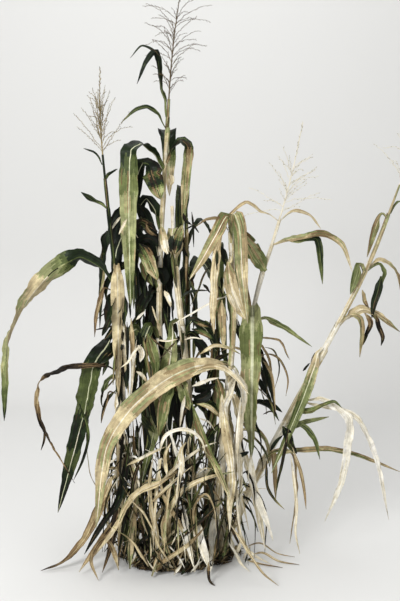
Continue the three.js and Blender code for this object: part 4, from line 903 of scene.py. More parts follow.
def streaks(rng, rows, columns, length, run):
    """Random values that change over a length along a leaf, and from each of its columns to the next."""
    knots = max(3, int(run / length) + 2)
    value = rng.normal(size=(knots, columns))
    value = (value + np.roll(value, 1, axis=1)) * 0.71
    place = np.linspace(0, knots - 1, rows)
    i = np.minimum(place.astype(int), knots - 2)
    return mix(value[i], value[i + 1], smooth(place - i, 0, 1)[:, None])


def died_back(rng, rows, columns, run, share):
    """Which faces have died back: patches that cover about this share of a leaf."""
    patches = streaks(rng, rows, columns, PATCH, run)
    if share <= 0 or share >= 1:
        return np.full(patches.shape, share >= 1)
    return patches < np.quantile(patches, share)


# How a blade is made: the length of a row of faces, the columns of faces on each side of its midrib, the
# sheet's thickness, how far its tone wanders, the depths of its wavy margins, its channel and its crumples
# as shares of its half width, the share that has died back, whether the midrib has its own finish, the
# midrib's size, and whether it ends as bluntly as a strap.
Look = namedtuple("Look", "row columns thick streak wave channel crumple dry rib midrib blunt",
                  defaults=(False, 1, False))


def put_blade(skin, line, heading, roll, width, tones, rng, look, hug=0.0):
    """Adds one leaf blade, a thin closed sheet that is channelled along its midrib, with wavy margins. hug is
    the radius of the stem that its foot clasps."""
    rows = max(8, int(line.length / look.row))
    s = np.linspace(0, 1, rows + 1)
    run = s * line.length
    along = line.along(s)
    out = flat_way(heading)
    near = 1 - smooth(run, *CLASP) if hug else np.zeros_like(run)
    centre = line.at(s) + out * (hug * near)[:, None]
    level = np.array([-out[1], out[0], 0.0])
    side = unit(level - along * (along @ level)[:, None])
    angle = np.radians(read(roll, s) + ROLL_SWAY * ripple(rng, run, 0.12, 0.4)) * (1 - near)
    side = side * np.cos(angle)[:, None] + np.cross(along, side) * np.sin(angle)[:, None]
    up = unit(np.cross(along, side))

    # The half width, which is less on the inner side of a sharp bend.
    shape = strap_shape(s) if look.blunt else blade_shape(s)
    half = width / 2 * shape * (1 + MARGIN_SWAY * ripple(rng, run, 0.05, 0.2))
    half = np.maximum(half, LEAST_HALF)
    bend = (np.gradient(along, axis=0) / np.gradient(run)[:, None] * side).sum(1)
    limit = BEND_SHARE / np.maximum(np.abs(bend), 1e-6)
    for shift in (1, 2, 3):
        limit[shift:] = np.minimum(limit[shift:], limit[:-shift] * (1 + BEND_EASE * shift))
        limit[:-shift] = np.minimum(limit[:-shift], limit[shift:] * (1 + BEND_EASE * shift))
    plus = np.where(bend > 0, np.minimum(half, limit), half)
    minus = np.where(bend < 0, np.minimum(half, limit), half)

    # Across the blade, u runs from -1 at one margin to 1 at the other.
    rib = np.clip(mix(*RIB_HALF, s) * (width / RIB_BLADE_WIDTH) ** 0.5 * look.midrib, 0, half * RIB_SHARE)
    ribs = rib / half
    outer = np.concatenate([np.linspace(*COLUMN_SPAN, look.columns), MARGIN_COLUMNS])
    u = np.tile(outer, (rows + 1, 1))
    u = np.concatenate([-u[:, ::-1], -ribs[:, None], ribs[:, None], u], axis=1)
    lateral = u * np.where(u > 0, plus[:, None], minus[:, None])
    edge = np.abs(u) ** 1.7 * half[:, None]
    wave = look.wave * (1 - 0.8 * near)
    left = ripple(rng, run, *FRILL) * wave
    right = ripple(rng, run, *FRILL) * wave
    depth = look.channel * np.abs(u) ** 1.25 * half[:, None] * (1 - smooth(s, 0.6, 1) * 0.5)[:, None]
    depth = depth + edge * np.where(u > 0, left[:, None], right[:, None])
    pucker = ripple(rng, run, *PUCKER)[:, None] * np.sin(u * 4 + rng.random() * 6)
    depth = depth + look.crumple * half[:, None] * pucker
    if hug:
        reach = np.minimum(half / hug, WRAP)[:, None]
        depth = mix(depth, hug * (1 - np.cos(reach * u)), near[:, None])
        lateral = mix(lateral, hug * np.sin(reach * u), near[:, None])

    # The sheet's two faces, with the midrib standing out of the lower one.
    sheet = centre[:, None] + side[:, None] * lateral[..., None] + up[:, None] * depth[..., None]
    thick = look.thick / 2 * np.where(np.abs(u) > 0.99, 0, 1)
    ridge = np.where(np.abs(u) <= ribs[:, None] * 1.01, np.minimum(rib, RIB_DEPTH)[:, None], 0)
    top = sheet + up[:, None] * thick[..., None]
    under = sheet - up[:, None] * (thick + ridge)[..., None]
    rings = np.concatenate([top, under[:, -2:0:-1]], axis=1)
    ring_u = np.concatenate([u, u[:, -2:0:-1]], axis=1)
    columns = ring_u.shape[1]
    below = np.arange(columns) >= u.shape[1] - 1
    shift = rng.random(2) * 3
    places = np.stack([ring_u * half[:, None] + shift[0] + UNDERSIDE * below,
                       np.tile((run + shift[1])[:, None], (1, columns))], axis=-1)

    tone = read(tones, (s[:-1] + s[1:]) / 2)[:, None]
    tone = tone + look.streak * streaks(rng, rows, columns, LONG_STREAK, line.length)
    tone = tone + look.streak * 0.5 * streaks(rng, rows, columns, SHORT_STREAK, line.length)
    tone = tone + UNDERSIDE_TONE * below
    slots = tone_slot(tone, died_back(rng, rows, columns, line.length, look.dry))
    middle = (ring_u + np.roll(ring_u, -1, axis=1))[:-1] / 2
    is_rib = np.abs(middle) < ribs[:-1, None] * 0.6
    ribbed = np.where(slots < GREEN, RIB_GREEN, RIB_DRY) if look.rib else np.minimum(slots + 1, RIB_GREEN - 1)
    skin.loft(rings, places, np.where(is_rib, ribbed, slots))


def put_tube(skin, points, radius, sides, slots, flatten=1.0, shift=0.0):
    """Adds a slim closed tube. radius has a value for each point, or one for all, and slots can have one for
    each side too."""
    points = np.asarray(points, float)
    along = unit(np.gradient(points, axis=0))
    side = unit(np.cross(np.array([0.0, 1.0, 0.0]), along) + 1e-9)
    front = np.cross(along, side)
    turn = np.linspace(0, 2 * np.pi, sides, endpoint=False)
    radius = np.broadcast_to(np.asarray(radius, float), (len(points),))[:, None, None]
    rings = points[:, None] + radius * (np.cos(turn)[None, :, None] * side[:, None]
                                        + flatten * np.sin(turn)[None, :, None] * front[:, None])
    run = np.concatenate([[0], np.cumsum(np.linalg.norm(np.diff(points, axis=0), axis=1))])
    places = np.stack([np.tile(turn * TURN_WIDTH + shift, (len(points), 1)),
                       np.tile(run[:, None], (1, sides))], axis=-1)
    slots = np.asarray(slots)
    if slots.ndim < 2:
        slots = np.broadcast_to(slots, (len(points),))[:, None]
    skin.loft(rings, places, np.broadcast_to(slots, (len(points), sides))[:-1])


def put_culm(skin, culm, rng):
    """Adds a culm with swollen joints, and the leaf sheaths round it."""
    line = stalk_line(culm)
    top = line.points[-1, 2]
    z = np.linspace(CULM_FOOT, top, max(20, int(top / CULM_ROW)))
    radius = stalk_radius(culm, line, z)
    tone = read(culm.tones, z / top)[:, None] + CULM_STREAK * streaks(rng, len(z), CULM_SIDES, 0.1, top)
    slots = tone_slot(tone, died_back(rng, len(z), CULM_SIDES, top, CULM_DRY))
    for joint in joint_heights(culm, line):
        near = np.exp(-((z - joint) / JOINT_REACH) ** 2)
        radius = radius * (1 + (JOINT_SWELL - 1) * near)
        slots = np.where(np.abs(z - joint)[:, None] < JOINT_BAND, JOINT_SLOT, slots)
    put_tube(skin, line.at_height(z), radius, CULM_SIDES, slots, shift=rng.random())
    for low, high, loose in culm.sheaths:
        put_sheath(skin, culm, line, low * MM, high * MM, loose, rng)


def put_sheath(skin, culm, line, low, high, loose, rng):
    """Adds one leaf sheath, a rolled sheet round the culm whose edges lap. A loose one is flared and torn."""
    rows = max(10, int((high - low) / SHEATH_ROW))
    z = np.linspace(low, high, rows + 1)
    share = (z - low) / (high - low)
    shares = line.share_at_height(z)
    centre = line.at(shares)
    along = line.along(shares)
    side = unit(np.cross(np.array([0.0, 1.0, 0.0]), along))
    front = np.cross(along, side)
    start = rng.random() * 6.28
    turn = np.linspace(0, 2 * np.pi * SHEATH_LAP, SHEATH_AROUND)
    base = stalk_radius(culm, line, z) * mix(*SHEATH_FIT, share) + SHEATH_GAP
    base = base + loose * SHEATH_FLARE * share ** 1.5
    wobble = ripple(rng, z, 0.03, 0.16)[:, None] * np.sin(turn * 2 + start)[None]
    wobble = wobble * SHEATH_WOBBLE * (0.4 + loose)
    outer = base[:, None] + SHEATH_OVERLAP * (turn / turn[-1])[None] + wobble * share[:, None]
    edge = smooth(turn, turn[-1] * 0.72, turn[-1])[None]
    outer = outer + loose * SHEATH_PEEL * edge * smooth(share, 0.45, 1)[:, None]
    torn = ripple(rng, turn, 0.5, 2.4)[None] - 0.7
    rag = loose * SHEATH_RAG * torn * smooth(share, 0.86, 1)[:, None]

    def sheet(radius):
        at = turn[None] + start
        spot = centre[:, None] + radius[..., None] * (np.cos(at)[..., None] * side[:, None]
                                                      + np.sin(at)[..., None] * front[:, None])
        return spot + along[:, None] * rag[..., None]

    rings = np.concatenate([sheet(outer), sheet(outer - SHEATH_WALL)[:, ::-1]], axis=1)
    count = rings.shape[1]
    across = np.concatenate([turn, turn[::-1]]) * TURN_WIDTH + rng.random()
    places = np.stack([np.tile(across, (rows + 1, 1)), np.tile(z[:, None], (1, count))], axis=-1)
    tones = read(culm.tones, (z[:-1] + z[1:]) / 2 / line.points[-1, 2])[:, None]
    tones = tones + SHEATH_STREAK * streaks(rng, rows, count, 0.12, high - low) + rng.uniform(*SHEATH_TINT)
    skin.loft(rings, places, tone_slot(tones, died_back(rng, rows, count, high - low, SHEATH_DRY)))


def mass_tiller(mass):
    """A low mass's tiller, by the source's rule."""
    out = flat_way(mass.lean)
    foot = np.array([*mass.foot, 0.0])
    head = foot + out * mass.height * MASS_STEM_LEAN + [0, 0, mass.height]
    middle = foot + out * mass.height * MASS_STEM_LEAN * 0.3 + [0, 0, mass.height * 0.5]
    return Line(bow(foot, middle, head) * MM)


def mass_depth(heading):
    """How much of a mass's reach a heading gets, less to the front and the back than to the sides."""
    return mix(MASS_DEPTH_SHARE, 1, abs(math.cos(math.radians(heading))))


def mass_leaves(mass):
    """The leaves of a low mass, by the source's rule."""
    random = seeded(mass.seed)
    for i in range(mass.leaves):
        across = (i * 0.618 + random() * 0.2) % 1
        at = mix(0.3, 0.96, i / (mass.leaves - 1)) * mass.height
        heading = mix(*mass.sector, across)
        reach = mix(*mass.reach, random()) * mass_depth(heading)
        crest = at + mix(12, 70, random())
        tip = max(mass.least, at - mix(60, 300, random()))
        width = mix(*MASS_LEAF_WIDTH, random())
        marks = [(reach * 0.4, crest), (reach * 0.76, mix(crest, tip, 0.36)), (reach, tip)]
        # The source's rule also draws two turns for each leaf, which the looks choose for themselves.
        random()
        random()
        yield Leaf(at, heading, width, marks, roll=None, tones=None)


def arc_line(rng, root, heading, length, start, end, sway, least, reach=1.0):
    """A loose leaf's line. It leaves its root leaning start degrees from upright towards its heading, bends
    on to end, and sways as it goes. It keeps within its reach, and ends where it would hang below least."""
    share = np.linspace(0, 1, 49)
    run = share * length
    lean = np.radians(mix(start, end, share)) + 0.3 * ripple(rng, run, 0.08, 0.3)
    turn = math.radians(heading) + sway * ripple(rng, run, 0.12, 0.5)
    way = np.stack([np.sin(lean) * np.cos(turn), np.sin(lean) * np.sin(turn), np.cos(lean)], axis=-1)
    offset = np.cumsum(way * length / len(share), axis=0) - way[0] * length / len(share)
    furthest = np.hypot(offset[:, 0], offset[:, 1]).max()
    offset[:, :2] *= min(1, reach / max(furthest, 1e-6))
    points = np.asarray(root, float) + offset
    low = np.flatnonzero((points[:, 2] < least) & (share > 0.25))
    return Line(points[:low[0]] if len(low) else points)


def turning(rng, most):
    """How a loose leaf turns about its own length, in degrees."""
    return list(np.cumsum(rng.normal(0, most, 5)) + rng.uniform(-40, 40))


def put_withered(skin, withered, stalk, rng, sizes):
    """Adds the withered leaves that hang along a culm, close round it."""
    for _ in range(withered.count):
        root = stalk.at_height(rng.uniform(*withered.at) * MM)
        heading = rng.uniform(*withered.heading)
        line = arc_line(rng, root, heading, rng.uniform(*withered.length) * MM, rng.uniform(*WITHERED_LEAN),
                        rng.uniform(*WITHERED_HANG), sway=0.5, least=0.02,
                        reach=rng.uniform(*withered.reach) * MM)
        tone = rng.uniform(*withered.tones)
        width = rng.uniform(*withered.width)
        look = Look(sizes.row * 1.4, 3, sizes.sheet, streak=0.08, wave=0.45, channel=rng.uniform(0.2, 0.9),
                    crumple=0.18, dry=withered.dry)
        put_blade(skin, line, heading, turning(rng, 34), width * MM,
                  [tone, tone + rng.uniform(-0.08, 0.12), tone + rng.uniform(-0.1, 0.1), tone], rng, look)


def put_straps(skin, straps, rng, sizes):
    """Adds the loose leaves that are given mark by mark, each with its face towards the front."""
    for width, dried, depth, tones, marks in straps:
        root, tip = depth if isinstance(depth, tuple) else (depth, depth)
        depths = np.linspace(root, tip, len(marks))
        line = Line(spline([(x, y, z) for (x, z), y in zip(marks, depths)], 120) * MM)
        look = Look(sizes.row, 5 if width > BROAD_STRAP else 3, sizes.sheet, streak=0.05, wave=0.3,
                    channel=rng.uniform(0.15, 0.6), crumple=0.1, dry=dried, blunt=True)
        roll = 90 + rng.normal(0, 14) + np.cumsum(rng.normal(0, 12, 4))
        put_blade(skin, line, 0, list(roll), width * MM, tones, rng, look)


def put_tangle(skin, mass, tiller, rng, sizes):
    """Adds the finer straps of a low mass, all within the reach of its leaves. The inner ones are painted
    near black, as shade deep inside the mass.
    """
    centre = sum(mass.sector) / 2
    spread = (mass.sector[1] - mass.sector[0]) / 2
    facing = math.sin(math.radians(centre))
    for k in range(int(sizes.tangle * mass.density)):
        inner = k % 5 < 2
        heading = centre + rng.uniform(-spread, spread)
        if k % 6 == 5:
            root = tiller.at(rng.uniform(*HANGING.root))
            start = rng.uniform(*HANGING.start)
            end = rng.uniform(*HANGING.end)
            length = rng.uniform(*HANGING.length)
        elif k % 6 > 1:
            heading = rng.choice([0, 180]) + rng.uniform(-30, 30)
            root = tiller.at(rng.uniform(*CROSSING.root))
            root = root + [rng.uniform(-0.08, 0.08), facing * rng.uniform(0, 0.09), 0]
            start = rng.choice([-1, 1]) * rng.uniform(*CROSSING.start)
            end = start + rng.choice([-1, 1]) * rng.uniform(*CROSSING.end)
            length = rng.uniform(*CROSSING.length)
        else:
            root = tiller.at(rng.uniform(*RISING.root))
            start = rng.uniform(*RISING.start)
            end = start + rng.uniform(*RISING.end)
            length = rng.uniform(*RISING.length)
        reach = mass.reach[1] * MM * mass_depth(heading) * rng.uniform(0.5, 1.0) * (0.6 if inner else 0.9)
        line = arc_line(rng, root, heading, length, start, end, sway=0.4, least=rng.uniform(0.02, 0.16),
                        reach=reach)
        # The inner straps are painted near black, as shade deep inside the mass.
        tone = rng.uniform(0.0, 0.1) if inner else rng.choice(TANGLE_TONES)
        look = Look(sizes.low_row, 2, sizes.sheet, streak=0.07, wave=0.45, channel=rng.uniform(0.2, 0.9),
                    crumple=0.16, dry=0.3 if inner else 0.8)
        put_blade(skin, line, heading, turning(rng, 45), rng.uniform(*STRAND_WIDTH) * MM,
                  [tone, tone + rng.uniform(-0.15, 0.15), tone + rng.uniform(-0.15, 0.15), tone], rng, look)


def crown_height(out):
    """The height of the crown's mat, given how far out as a share of its reach."""
    return CROWN_HEIGHT * math.sqrt(max(1 - min(out, 1) ** 3, 0.004)) * 0.9


def crown_spot(across, deep, above):
    """A place on the matted crown, given in shares of its reach, and how far above it."""
    out = math.hypot(across, deep)
    angle = math.atan2(deep, across)
    ragged = 1 + 0.12 * math.sin(3 * angle + 0.6) + 0.07 * math.sin(8 * angle)
    ragged += 0.05 * math.sin(17 * angle + 2)
    held = min(1, ragged / max(out, 1e-6))
    return np.array([CROWN_ACROSS * across * held, CROWN_DEEP * deep * held, crown_height(out) + above])


def put_mat(skin, rng):
    """Adds the crown's solid core, a low mound with a ragged rim."""
    turn = np.linspace(0, 2 * np.pi, CROWN_AROUND, endpoint=False)
    edge = 0.84 + 0.08 * np.sin(turn * 3 + 0.6) + 0.04 * np.sin(turn * 8) + 0.03 * np.sin(turn * 17 + 2)
    share = np.linspace(1, 0.03, CROWN_ROWS)[:, None]
    height = CROWN_HEIGHT * np.sqrt(np.maximum(1 - share ** 3, 0))
    height = height * (1 + 0.12 * np.sin(turn * 9 + share * 13)) * 0.9
    height[0] = 0
    x = CROWN_ACROSS * edge * share * np.cos(turn)
    y = CROWN_DEEP * edge * share * np.sin(turn)
    rings = np.stack([x, y, height + 0.0002], axis=-1)
    slots = rng.choice([0, 0, 1], size=(CROWN_ROWS - 1, CROWN_AROUND))
    skin.loft(rings, rings[..., :2], slots)


def put_fibre(skin, rng):
    """Adds one dead strap or fibre that lies on the crown."""
    angle = rng.uniform(0, 2 * np.pi)
    out = math.sqrt(rng.uniform(0.02, 1.0)) * 1.1
    lie = angle + rng.choice([-1, 1]) * rng.uniform(0.5, 2.2)
    a = crown_spot(out * math.cos(angle), out * math.sin(angle), 0.002)
    long = rng.uniform(*FIBRE_LENGTH)
    b = a + np.array([math.cos(lie), math.sin(lie), 0]) * long
    b = crown_spot(b[0] / CROWN_ACROSS, b[1] / CROWN_DEEP, rng.uniform(*FIBRE_LIFT))
    middle = (a + b) / 2 + [0, 0, rng.uniform(*FIBRE_ARCH)]
    strap = bow(a, middle, b, 6)
    radius = rng.uniform(*FIBRE_RADIUS) * np.sin(np.linspace(0.35, 2.9, len(strap)))
    put_tube(skin, strap, radius, 4, int(rng.choice([0, 0, 1, 1, 2])), flatten=0.3, shift=rng.random())


def put_spikelets(skin, points, spacing, size, rng, slots):
    """Adds the slim paired spikelets of a tassel along a branch."""
    line = Line(points)
    count = max(2, int(line.length / spacing))
    for k in range(count):
        share = (k + 0.5) / count
        at = line.at(share)
        way = line.along(share)
        flat = unit(np.cross(way, rng.normal(size=3)))
        lean = unit(way + flat * rng.uniform(0.25, 0.8))
        long = size * rng.uniform(0.8, 1.25)
        spikelet = np.stack([at, at + lean * long * 0.45 + flat * 0.0006, at + lean * long])
        put_tube(skin, spikelet, [0.0003, size * 0.11, 0.0002], 4, int(rng.choice(slots)), shift=rng.random())


def put_tassel(skin, tassel, culm, rng, finer):
    """Adds a tassel by the source's rule: a spike, and branches round its lower part, all set with spikelets.
    The first round of branches is the source's, and the finer rounds stray from it."""
    stalk = stalk_line(culm)
    foot = stalk.points[-1]
    axis = stalk.along(1.0)
    lean = unit(mix(axis, np.array([0.0, 0.0, 1.0]), 0.35))
    length = tassel.length * MM
    bend = np.array([*tassel.bend, 0.0]) * MM
    spike = bow(foot - axis * 0.004, foot + axis * length * 0.5, foot + (axis + lean) * length * 0.5 + bend)
    spike_line = Line(spike)
    put_tube(skin, spike, np.linspace(*SPIKE_RADIUS, len(spike)), 6, tassel.tones[0])
    put_spikelets(skin, spike[len(spike) // 3:], SPIKE_SPACING, SPIKE_SPIKELET, rng, tassel.tones)
    random = seeded(tassel.seed)
    for i in range(tassel.branches * finer):
        share = (i % tassel.branches) / (tassel.branches - 1)
        turn = i * GOLDEN + random() * 0.6
        spread = math.radians(mix(tassel.spread[1], tassel.spread[0], share) * mix(0.85, 1.1, random()))
        reach = mix(tassel.reach[1], tassel.reach[0], share) * mix(0.82, 1.05, random()) * MM
        arch = tassel.arch
        gather = mix(tassel.gather, 1, share)
        spread *= gather
        reach *= gather
        if i >= tassel.branches:
            share = min(max(share + rng.uniform(*STRAY_ALONG), 0), 1)
            spread *= rng.uniform(*STRAY_SPREAD)
            reach *= rng.uniform(*STRAY_REACH)
            arch += rng.uniform(*STRAY_ARCH)
        root = spike_line.at(mix(0.04, tassel.rise, share))
        flat = np.array([math.cos(turn), math.sin(turn), 0.0])
        way = unit(axis * math.cos(spread) + flat * math.sin(spread))
        knee = root + way * reach * 0.55
        end = knee + way * reach * 0.45 + flat * reach * arch * 0.35
        end = end - np.array([0, 0, reach * arch * 0.45])
        branch = bow(root, knee, end, 20)
        run = np.linspace(0, reach, len(branch))
        sway = np.stack([ripple(rng, run, 0.03, 0.12) for _ in range(3)], axis=-1)
        branch = branch + sway * BRANCH_SWAY * smooth(run, 0, 0.03)[:, None]
        put_tube(skin, branch, np.linspace(*BRANCH_RADIUS, len(branch)), 4, tassel.tones[0])
        put_spikelets(skin, branch[2:], BRANCH_SPACING, BRANCH_SPIKELET, rng, tassel.tones)


def colour(text):
    """A colour given as six hexadecimal figures, as the linear numbers that a shader takes."""
    values = [int(text[i:i + 2], 16) / 255 for i in (0, 2, 4)]
    return (*[v / 12.92 if v <= 0.04045 else ((v + 0.055) / 1.055) ** 2.4 for v in values], 1.0)


def group(name, inputs, outputs):
    """A node group with named sockets, what it is given, and what it puts out. Inputs are (name, kind,
    default)."""
    tree = bpy.data.node_groups.new(name, "ShaderNodeTree")
    for label, kind, default in inputs:
        socket = tree.interface.new_socket(label, in_out="INPUT", socket_type=kind)
        socket.default_value = default
    for label, kind in outputs:
        tree.interface.new_socket(label, in_out="OUTPUT", socket_type=kind)
    return tree, tree.nodes.new("NodeGroupInput").outputs, tree.nodes.new("NodeGroupOutput").inputs


def add(tree, kind, feeds=None, **settings):
    """Adds a node with its settings. feeds gives its sockets a value, or the output of another node."""
    node = tree.nodes.new("ShaderNode" + kind)
    for key, value in settings.items():
        setattr(node, key, value)
    for label, value in (feeds or {}).items():
        if isinstance(value, bpy.types.NodeSocket):
            tree.links.new(value, node.inputs[label])
        else:
            node.inputs[label].default_value = value
    return node


def times(tree, a, b):
    return add(tree, "Math", {0: a, 1: b}, operation="MULTIPLY").outputs[0]


def blended(tree, share, a, b):
    return add(tree, "Mix", {"Factor": share, "A": a, "B": b}, data_type="RGBA").outputs["Result"]


def parallel_veins():
    """Veins that run the length of a leaf, fine ones and broad ones: a colour that is darker between them,
    and their height."""
    tree, given, result = group("parallel_veins", [
        ("Colour", "NodeSocketColor", (0.5, 0.5, 0.5, 1)),
        ("Between", "NodeSocketColor", (0.3, 0.3, 0.3, 1)),
        ("Spacing", "NodeSocketFloat", 900.0),
        ("Stretch", "NodeSocketFloat", 14.0),
        ("Amount", "NodeSocketFloat", 0.4),
    ], [("Colour", "NodeSocketColor"), ("Height", "NodeSocketFloat")])
    place = add(tree, "UVMap", uv_map="Place")
    scale = add(tree, "CombineXYZ", {0: given["Spacing"], 1: given["Stretch"]})
    stretched = add(tree, "VectorMath", {0: place.outputs["UV"], 1: scale.outputs[0]}, operation="MULTIPLY")
    both = add(tree, "Math", operation="ADD")
    for i, fineness in enumerate((1.0, 0.24)):
        noise = add(tree, "TexNoise", {"Vector": stretched.outputs[0], "Scale": fineness, "Detail": 2.0},
                    noise_dimensions="2D")
        tree.links.new(noise.outputs["Fac"], both.inputs[i])
    height = add(tree, "MapRange", {"Value": both.outputs[0], "From Min": 0.8, "From Max": 1.2})
    height = height.outputs["Result"]
    amount = times(tree, height, given["Amount"])
    tree.links.new(blended(tree, amount, given["Colour"], given["Between"]), result["Colour"])
    tree.links.new(height, result["Height"])
    return tree


def weathering():
    """Soft clouds where a leaf has aged: a colour with pale and dark ones in it."""
    tree, given, result = group("weathering", [
        ("Colour", "NodeSocketColor", (0.5, 0.5, 0.5, 1)),
        ("Blotch", "NodeSocketColor", (0.2, 0.15, 0.1, 1)),
        ("Bleach", "NodeSocketColor", (0.8, 0.8, 0.7, 1)),
        ("Size", "NodeSocketFloat", 60.0),
        ("Cover", "NodeSocketFloat", 0.3),
    ], [("Colour", "NodeSocketColor")])
    spot = add(tree, "TexCoord").outputs["Object"]
    aged = given["Colour"]
    for tint, fineness in (("Bleach", 0.45), ("Blotch", 1.0)):
        scale = times(tree, given["Size"], fineness)
        noise = add(tree, "TexNoise", {"Vector": spot, "Scale": scale, "Detail": 3.0, "Roughness": 0.62})
        mask = add(tree, "MapRange", {"Value": noise.outputs["Fac"], "From Min": 0.48, "From Max": 0.66})
        aged = blended(tree, times(tree, mask.outputs["Result"], given["Cover"]), aged, given[tint])
    tree.links.new(aged, result["Colour"])
    return tree


def shared(name, make):
    return bpy.data.node_groups.get(name) or make()


def darker(base, share):
    return (*[c * share for c in base[:3]], 1.0)


def paler(base):
    return (*[min(c * 1.7 + 0.006, 0.86) for c in base[:3]], 1.0)


# How a finish differs from the others beside its colour: how dark it is between its veins and in its
# blotches, its roughness, the spacing and stretch of its veins and how much they show, the size and cover
# of its weathering, and its relief.
Finish = namedtuple("Finish", "between blotch roughness spacing stretch amount size cover relief")
SOUND_LEAF = Finish(0.5, 0.45, 0.42, 900, 12, 0.75, 60, 0.5, 0.5)
DRY_LEAF = SOUND_LEAF._replace(roughness=0.62)
TASSEL_FINISH = Finish(0.6, 0.5, 0.8, 1200, 60, 0.4, 90, 0.3, 0.3)
CROWN_FINISH = Finish(0.5, 0.4, 0.92, 500, 30, 0.6, 120, 0.6, 0.9)
PLANT_SPECULAR = 0.16
RELIEF_DEPTH = 0.0008


def plant_material(name, base, finish):
    """A leaf, stem or fibre finish: veins along it, which its relief has too, and weathering over them."""
    known = bpy.data.materials.get(name)
    if known:
        return known
    material = bpy.data.materials.new(name)
    material.use_nodes = True
    tree = material.node_tree
    veins = add(tree, "Group", {
        "Colour": base, "Between": darker(base, finish.between), "Spacing": finish.spacing,
        "Stretch": finish.stretch, "Amount": finish.amount,
    }, node_tree=shared("parallel_veins", parallel_veins))
    age = add(tree, "Group", {
        "Colour": veins.outputs["Colour"], "Blotch": darker(base, finish.blotch), "Bleach": paler(base),
        "Size": finish.size, "Cover": finish.cover,
    }, node_tree=shared("weathering", weathering))
    bump = add(tree, "Bump", {
        "Height": veins.outputs["Height"], "Strength": finish.relief, "Distance": RELIEF_DEPTH,
    })
    shader = tree.nodes["Principled BSDF"].inputs
    shader["Roughness"].default_value = finish.roughness
    shader["Specular IOR Level"].default_value = PLANT_SPECULAR
    tree.links.new(age.outputs["Colour"], shader["Base Color"])
    tree.links.new(bump.outputs["Normal"], shader["Normal"])
    return material


def finishes(colours, names, finish):
    """Materials for the named colours, in slot order."""
    return [plant_material("maize_" + name, tuple(getattr(colours, name)), finish) for name in names]


def leaf_finishes(colours):
    """The finishes of the leaves, in slot order: green and dry, each from dark to pale, then two midribs."""
    green = ("deep_green", "dark_green", "leaf_green", "dull_green", "faded_green")
    dry = ("charred", "dark_brown", "brown", "tan", "buff", "straw", "bleached", "green_rib", "dry_rib")
    return finishes(colours, green, SOUND_LEAF) + finishes(colours, dry, DRY_LEAF)


def hue(label, text, default):
    return bpy.props.FloatVectorProperty(name=label, description=text, subtype="COLOR", size=4, min=0, max=1,
                                         default=colour(default))


class MaizeColours(bpy.types.PropertyGroup):
    """Colours of the leaves, stems, tassels and crown."""

    # Deep green is partly the darkest leaf green and partly painted shade, near black for the deep shadow
    # among the leaves.
    deep_green: hue("Deep green", "Leaf in its darkest places", "0a1207")
    dark_green: hue("Dark green", "Sound leaf in its darker places", "17240e")
    leaf_green: hue("Leaf green", "Sound leaf", "465029")
    dull_green: hue("Dull green", "Leaf that has begun to fade", "6b7345")
    faded_green: hue("Faded green", "Leaf that has nearly paled", "929568")
    # Charred is partly the darkest dead leaf and partly painted shade, near black for the deep shadow among
    # the leaves.
    charred: hue("Charred", "Dead leaf in its darkest places", "100c07")
    # Dark brown is scorched dead leaf, and it also paints the shade in the folds of dead leaves.
    dark_brown: hue("Dark brown", "Scorched or folded dead leaf", "2d2316")
    brown: hue("Brown", "Dead leaf, brown", "745f41")
    tan: hue("Tan", "Dead leaf, tan", "9d8a66")
    buff: hue("Buff", "Dead leaf, buff", "c3b28c")
    straw: hue("Straw", "Dead leaf, straw", "e0d4b5")
    bleached: hue("Bleached", "Dead leaf, bleached", "f4eedc")
    green_rib: hue("Green midrib", "Midrib of a sound leaf", "c4c6a2")
    dry_rib: hue("Dry midrib", "Midrib of a dead leaf", "e4dcc2")
    tassel_pale: hue("Tassel pale", "Tassel spikelets, pale", "e6dfca")
    tassel_tan: hue("Tassel tan", "Tassel spikelets, tan", "94855f")
    tassel_brown: hue("Tassel brown", "Tassel spikelets, brown", "5d4e37")
    tassel_dark: hue("Tassel dark", "Tassel spikelets, dark", "3a3122")
    crown_dark: hue("Crown dark", "Matted foot, dark", "2e261b")
    crown_brown: hue("Crown brown", "Matted foot, brown", "5b4b35")
    crown_tan: hue("Crown tan", "Matted foot, tan", "93815f")


class MaizeSizes(bpy.types.PropertyGroup):
    """Sizes of the finer parts."""

    sheet: bpy.props.FloatProperty(name="Leaf sheet", description="Thickness of a leaf blade", default=0.0007,
                                   min=0.0002, unit="LENGTH")
    row: bpy.props.FloatProperty(name="Leaf row", description="Length of leaf between two rows of faces",
                                 default=0.006, min=0.003, unit="LENGTH")
    low_row: bpy.props.FloatProperty(name="Low leaf row", description="The same, on the low leaves",
                                     default=0.013, min=0.006, unit="LENGTH")
    tangle: bpy.props.IntProperty(name="Tangle", description="Finer straps that are grown in each low mass",
                                  default=90, min=0)
    tassel_rounds: bpy.props.IntProperty(name="Tassel rounds", description="Rounds of branches on a tassel",
                                         default=3, min=1, max=4)
    crown_straps: bpy.props.IntProperty(name="Crown straps", description="Dead straps matted on the crown",
                                        default=700, min=0)


class MaizeOperator(bpy.types.Operator):
    """Shared by the operators that grow the plant."""

    bl_options = {"REGISTER", "UNDO"}

    @property
    def sizes(self):
        return bpy.context.scene.maize_sizes

    @property
    def colours(self):
        return bpy.context.scene.maize_colours


class MAIZE_OT_culms(MaizeOperator):
    """Grow the nine culms with their joints and sheaths"""

    bl_idname = "maize.culms"
    bl_label = "Culms"

    def execute(self, context):
        for i, (name, culm) in enumerate(CULMS.items()):
            skin = Skin()
            put_culm(skin, culm, np.random.default_rng(CULM_SEED + i))
            skin.piece(name + "_stem", leaf_finishes(self.colours), [name])
        return {"FINISHED"}


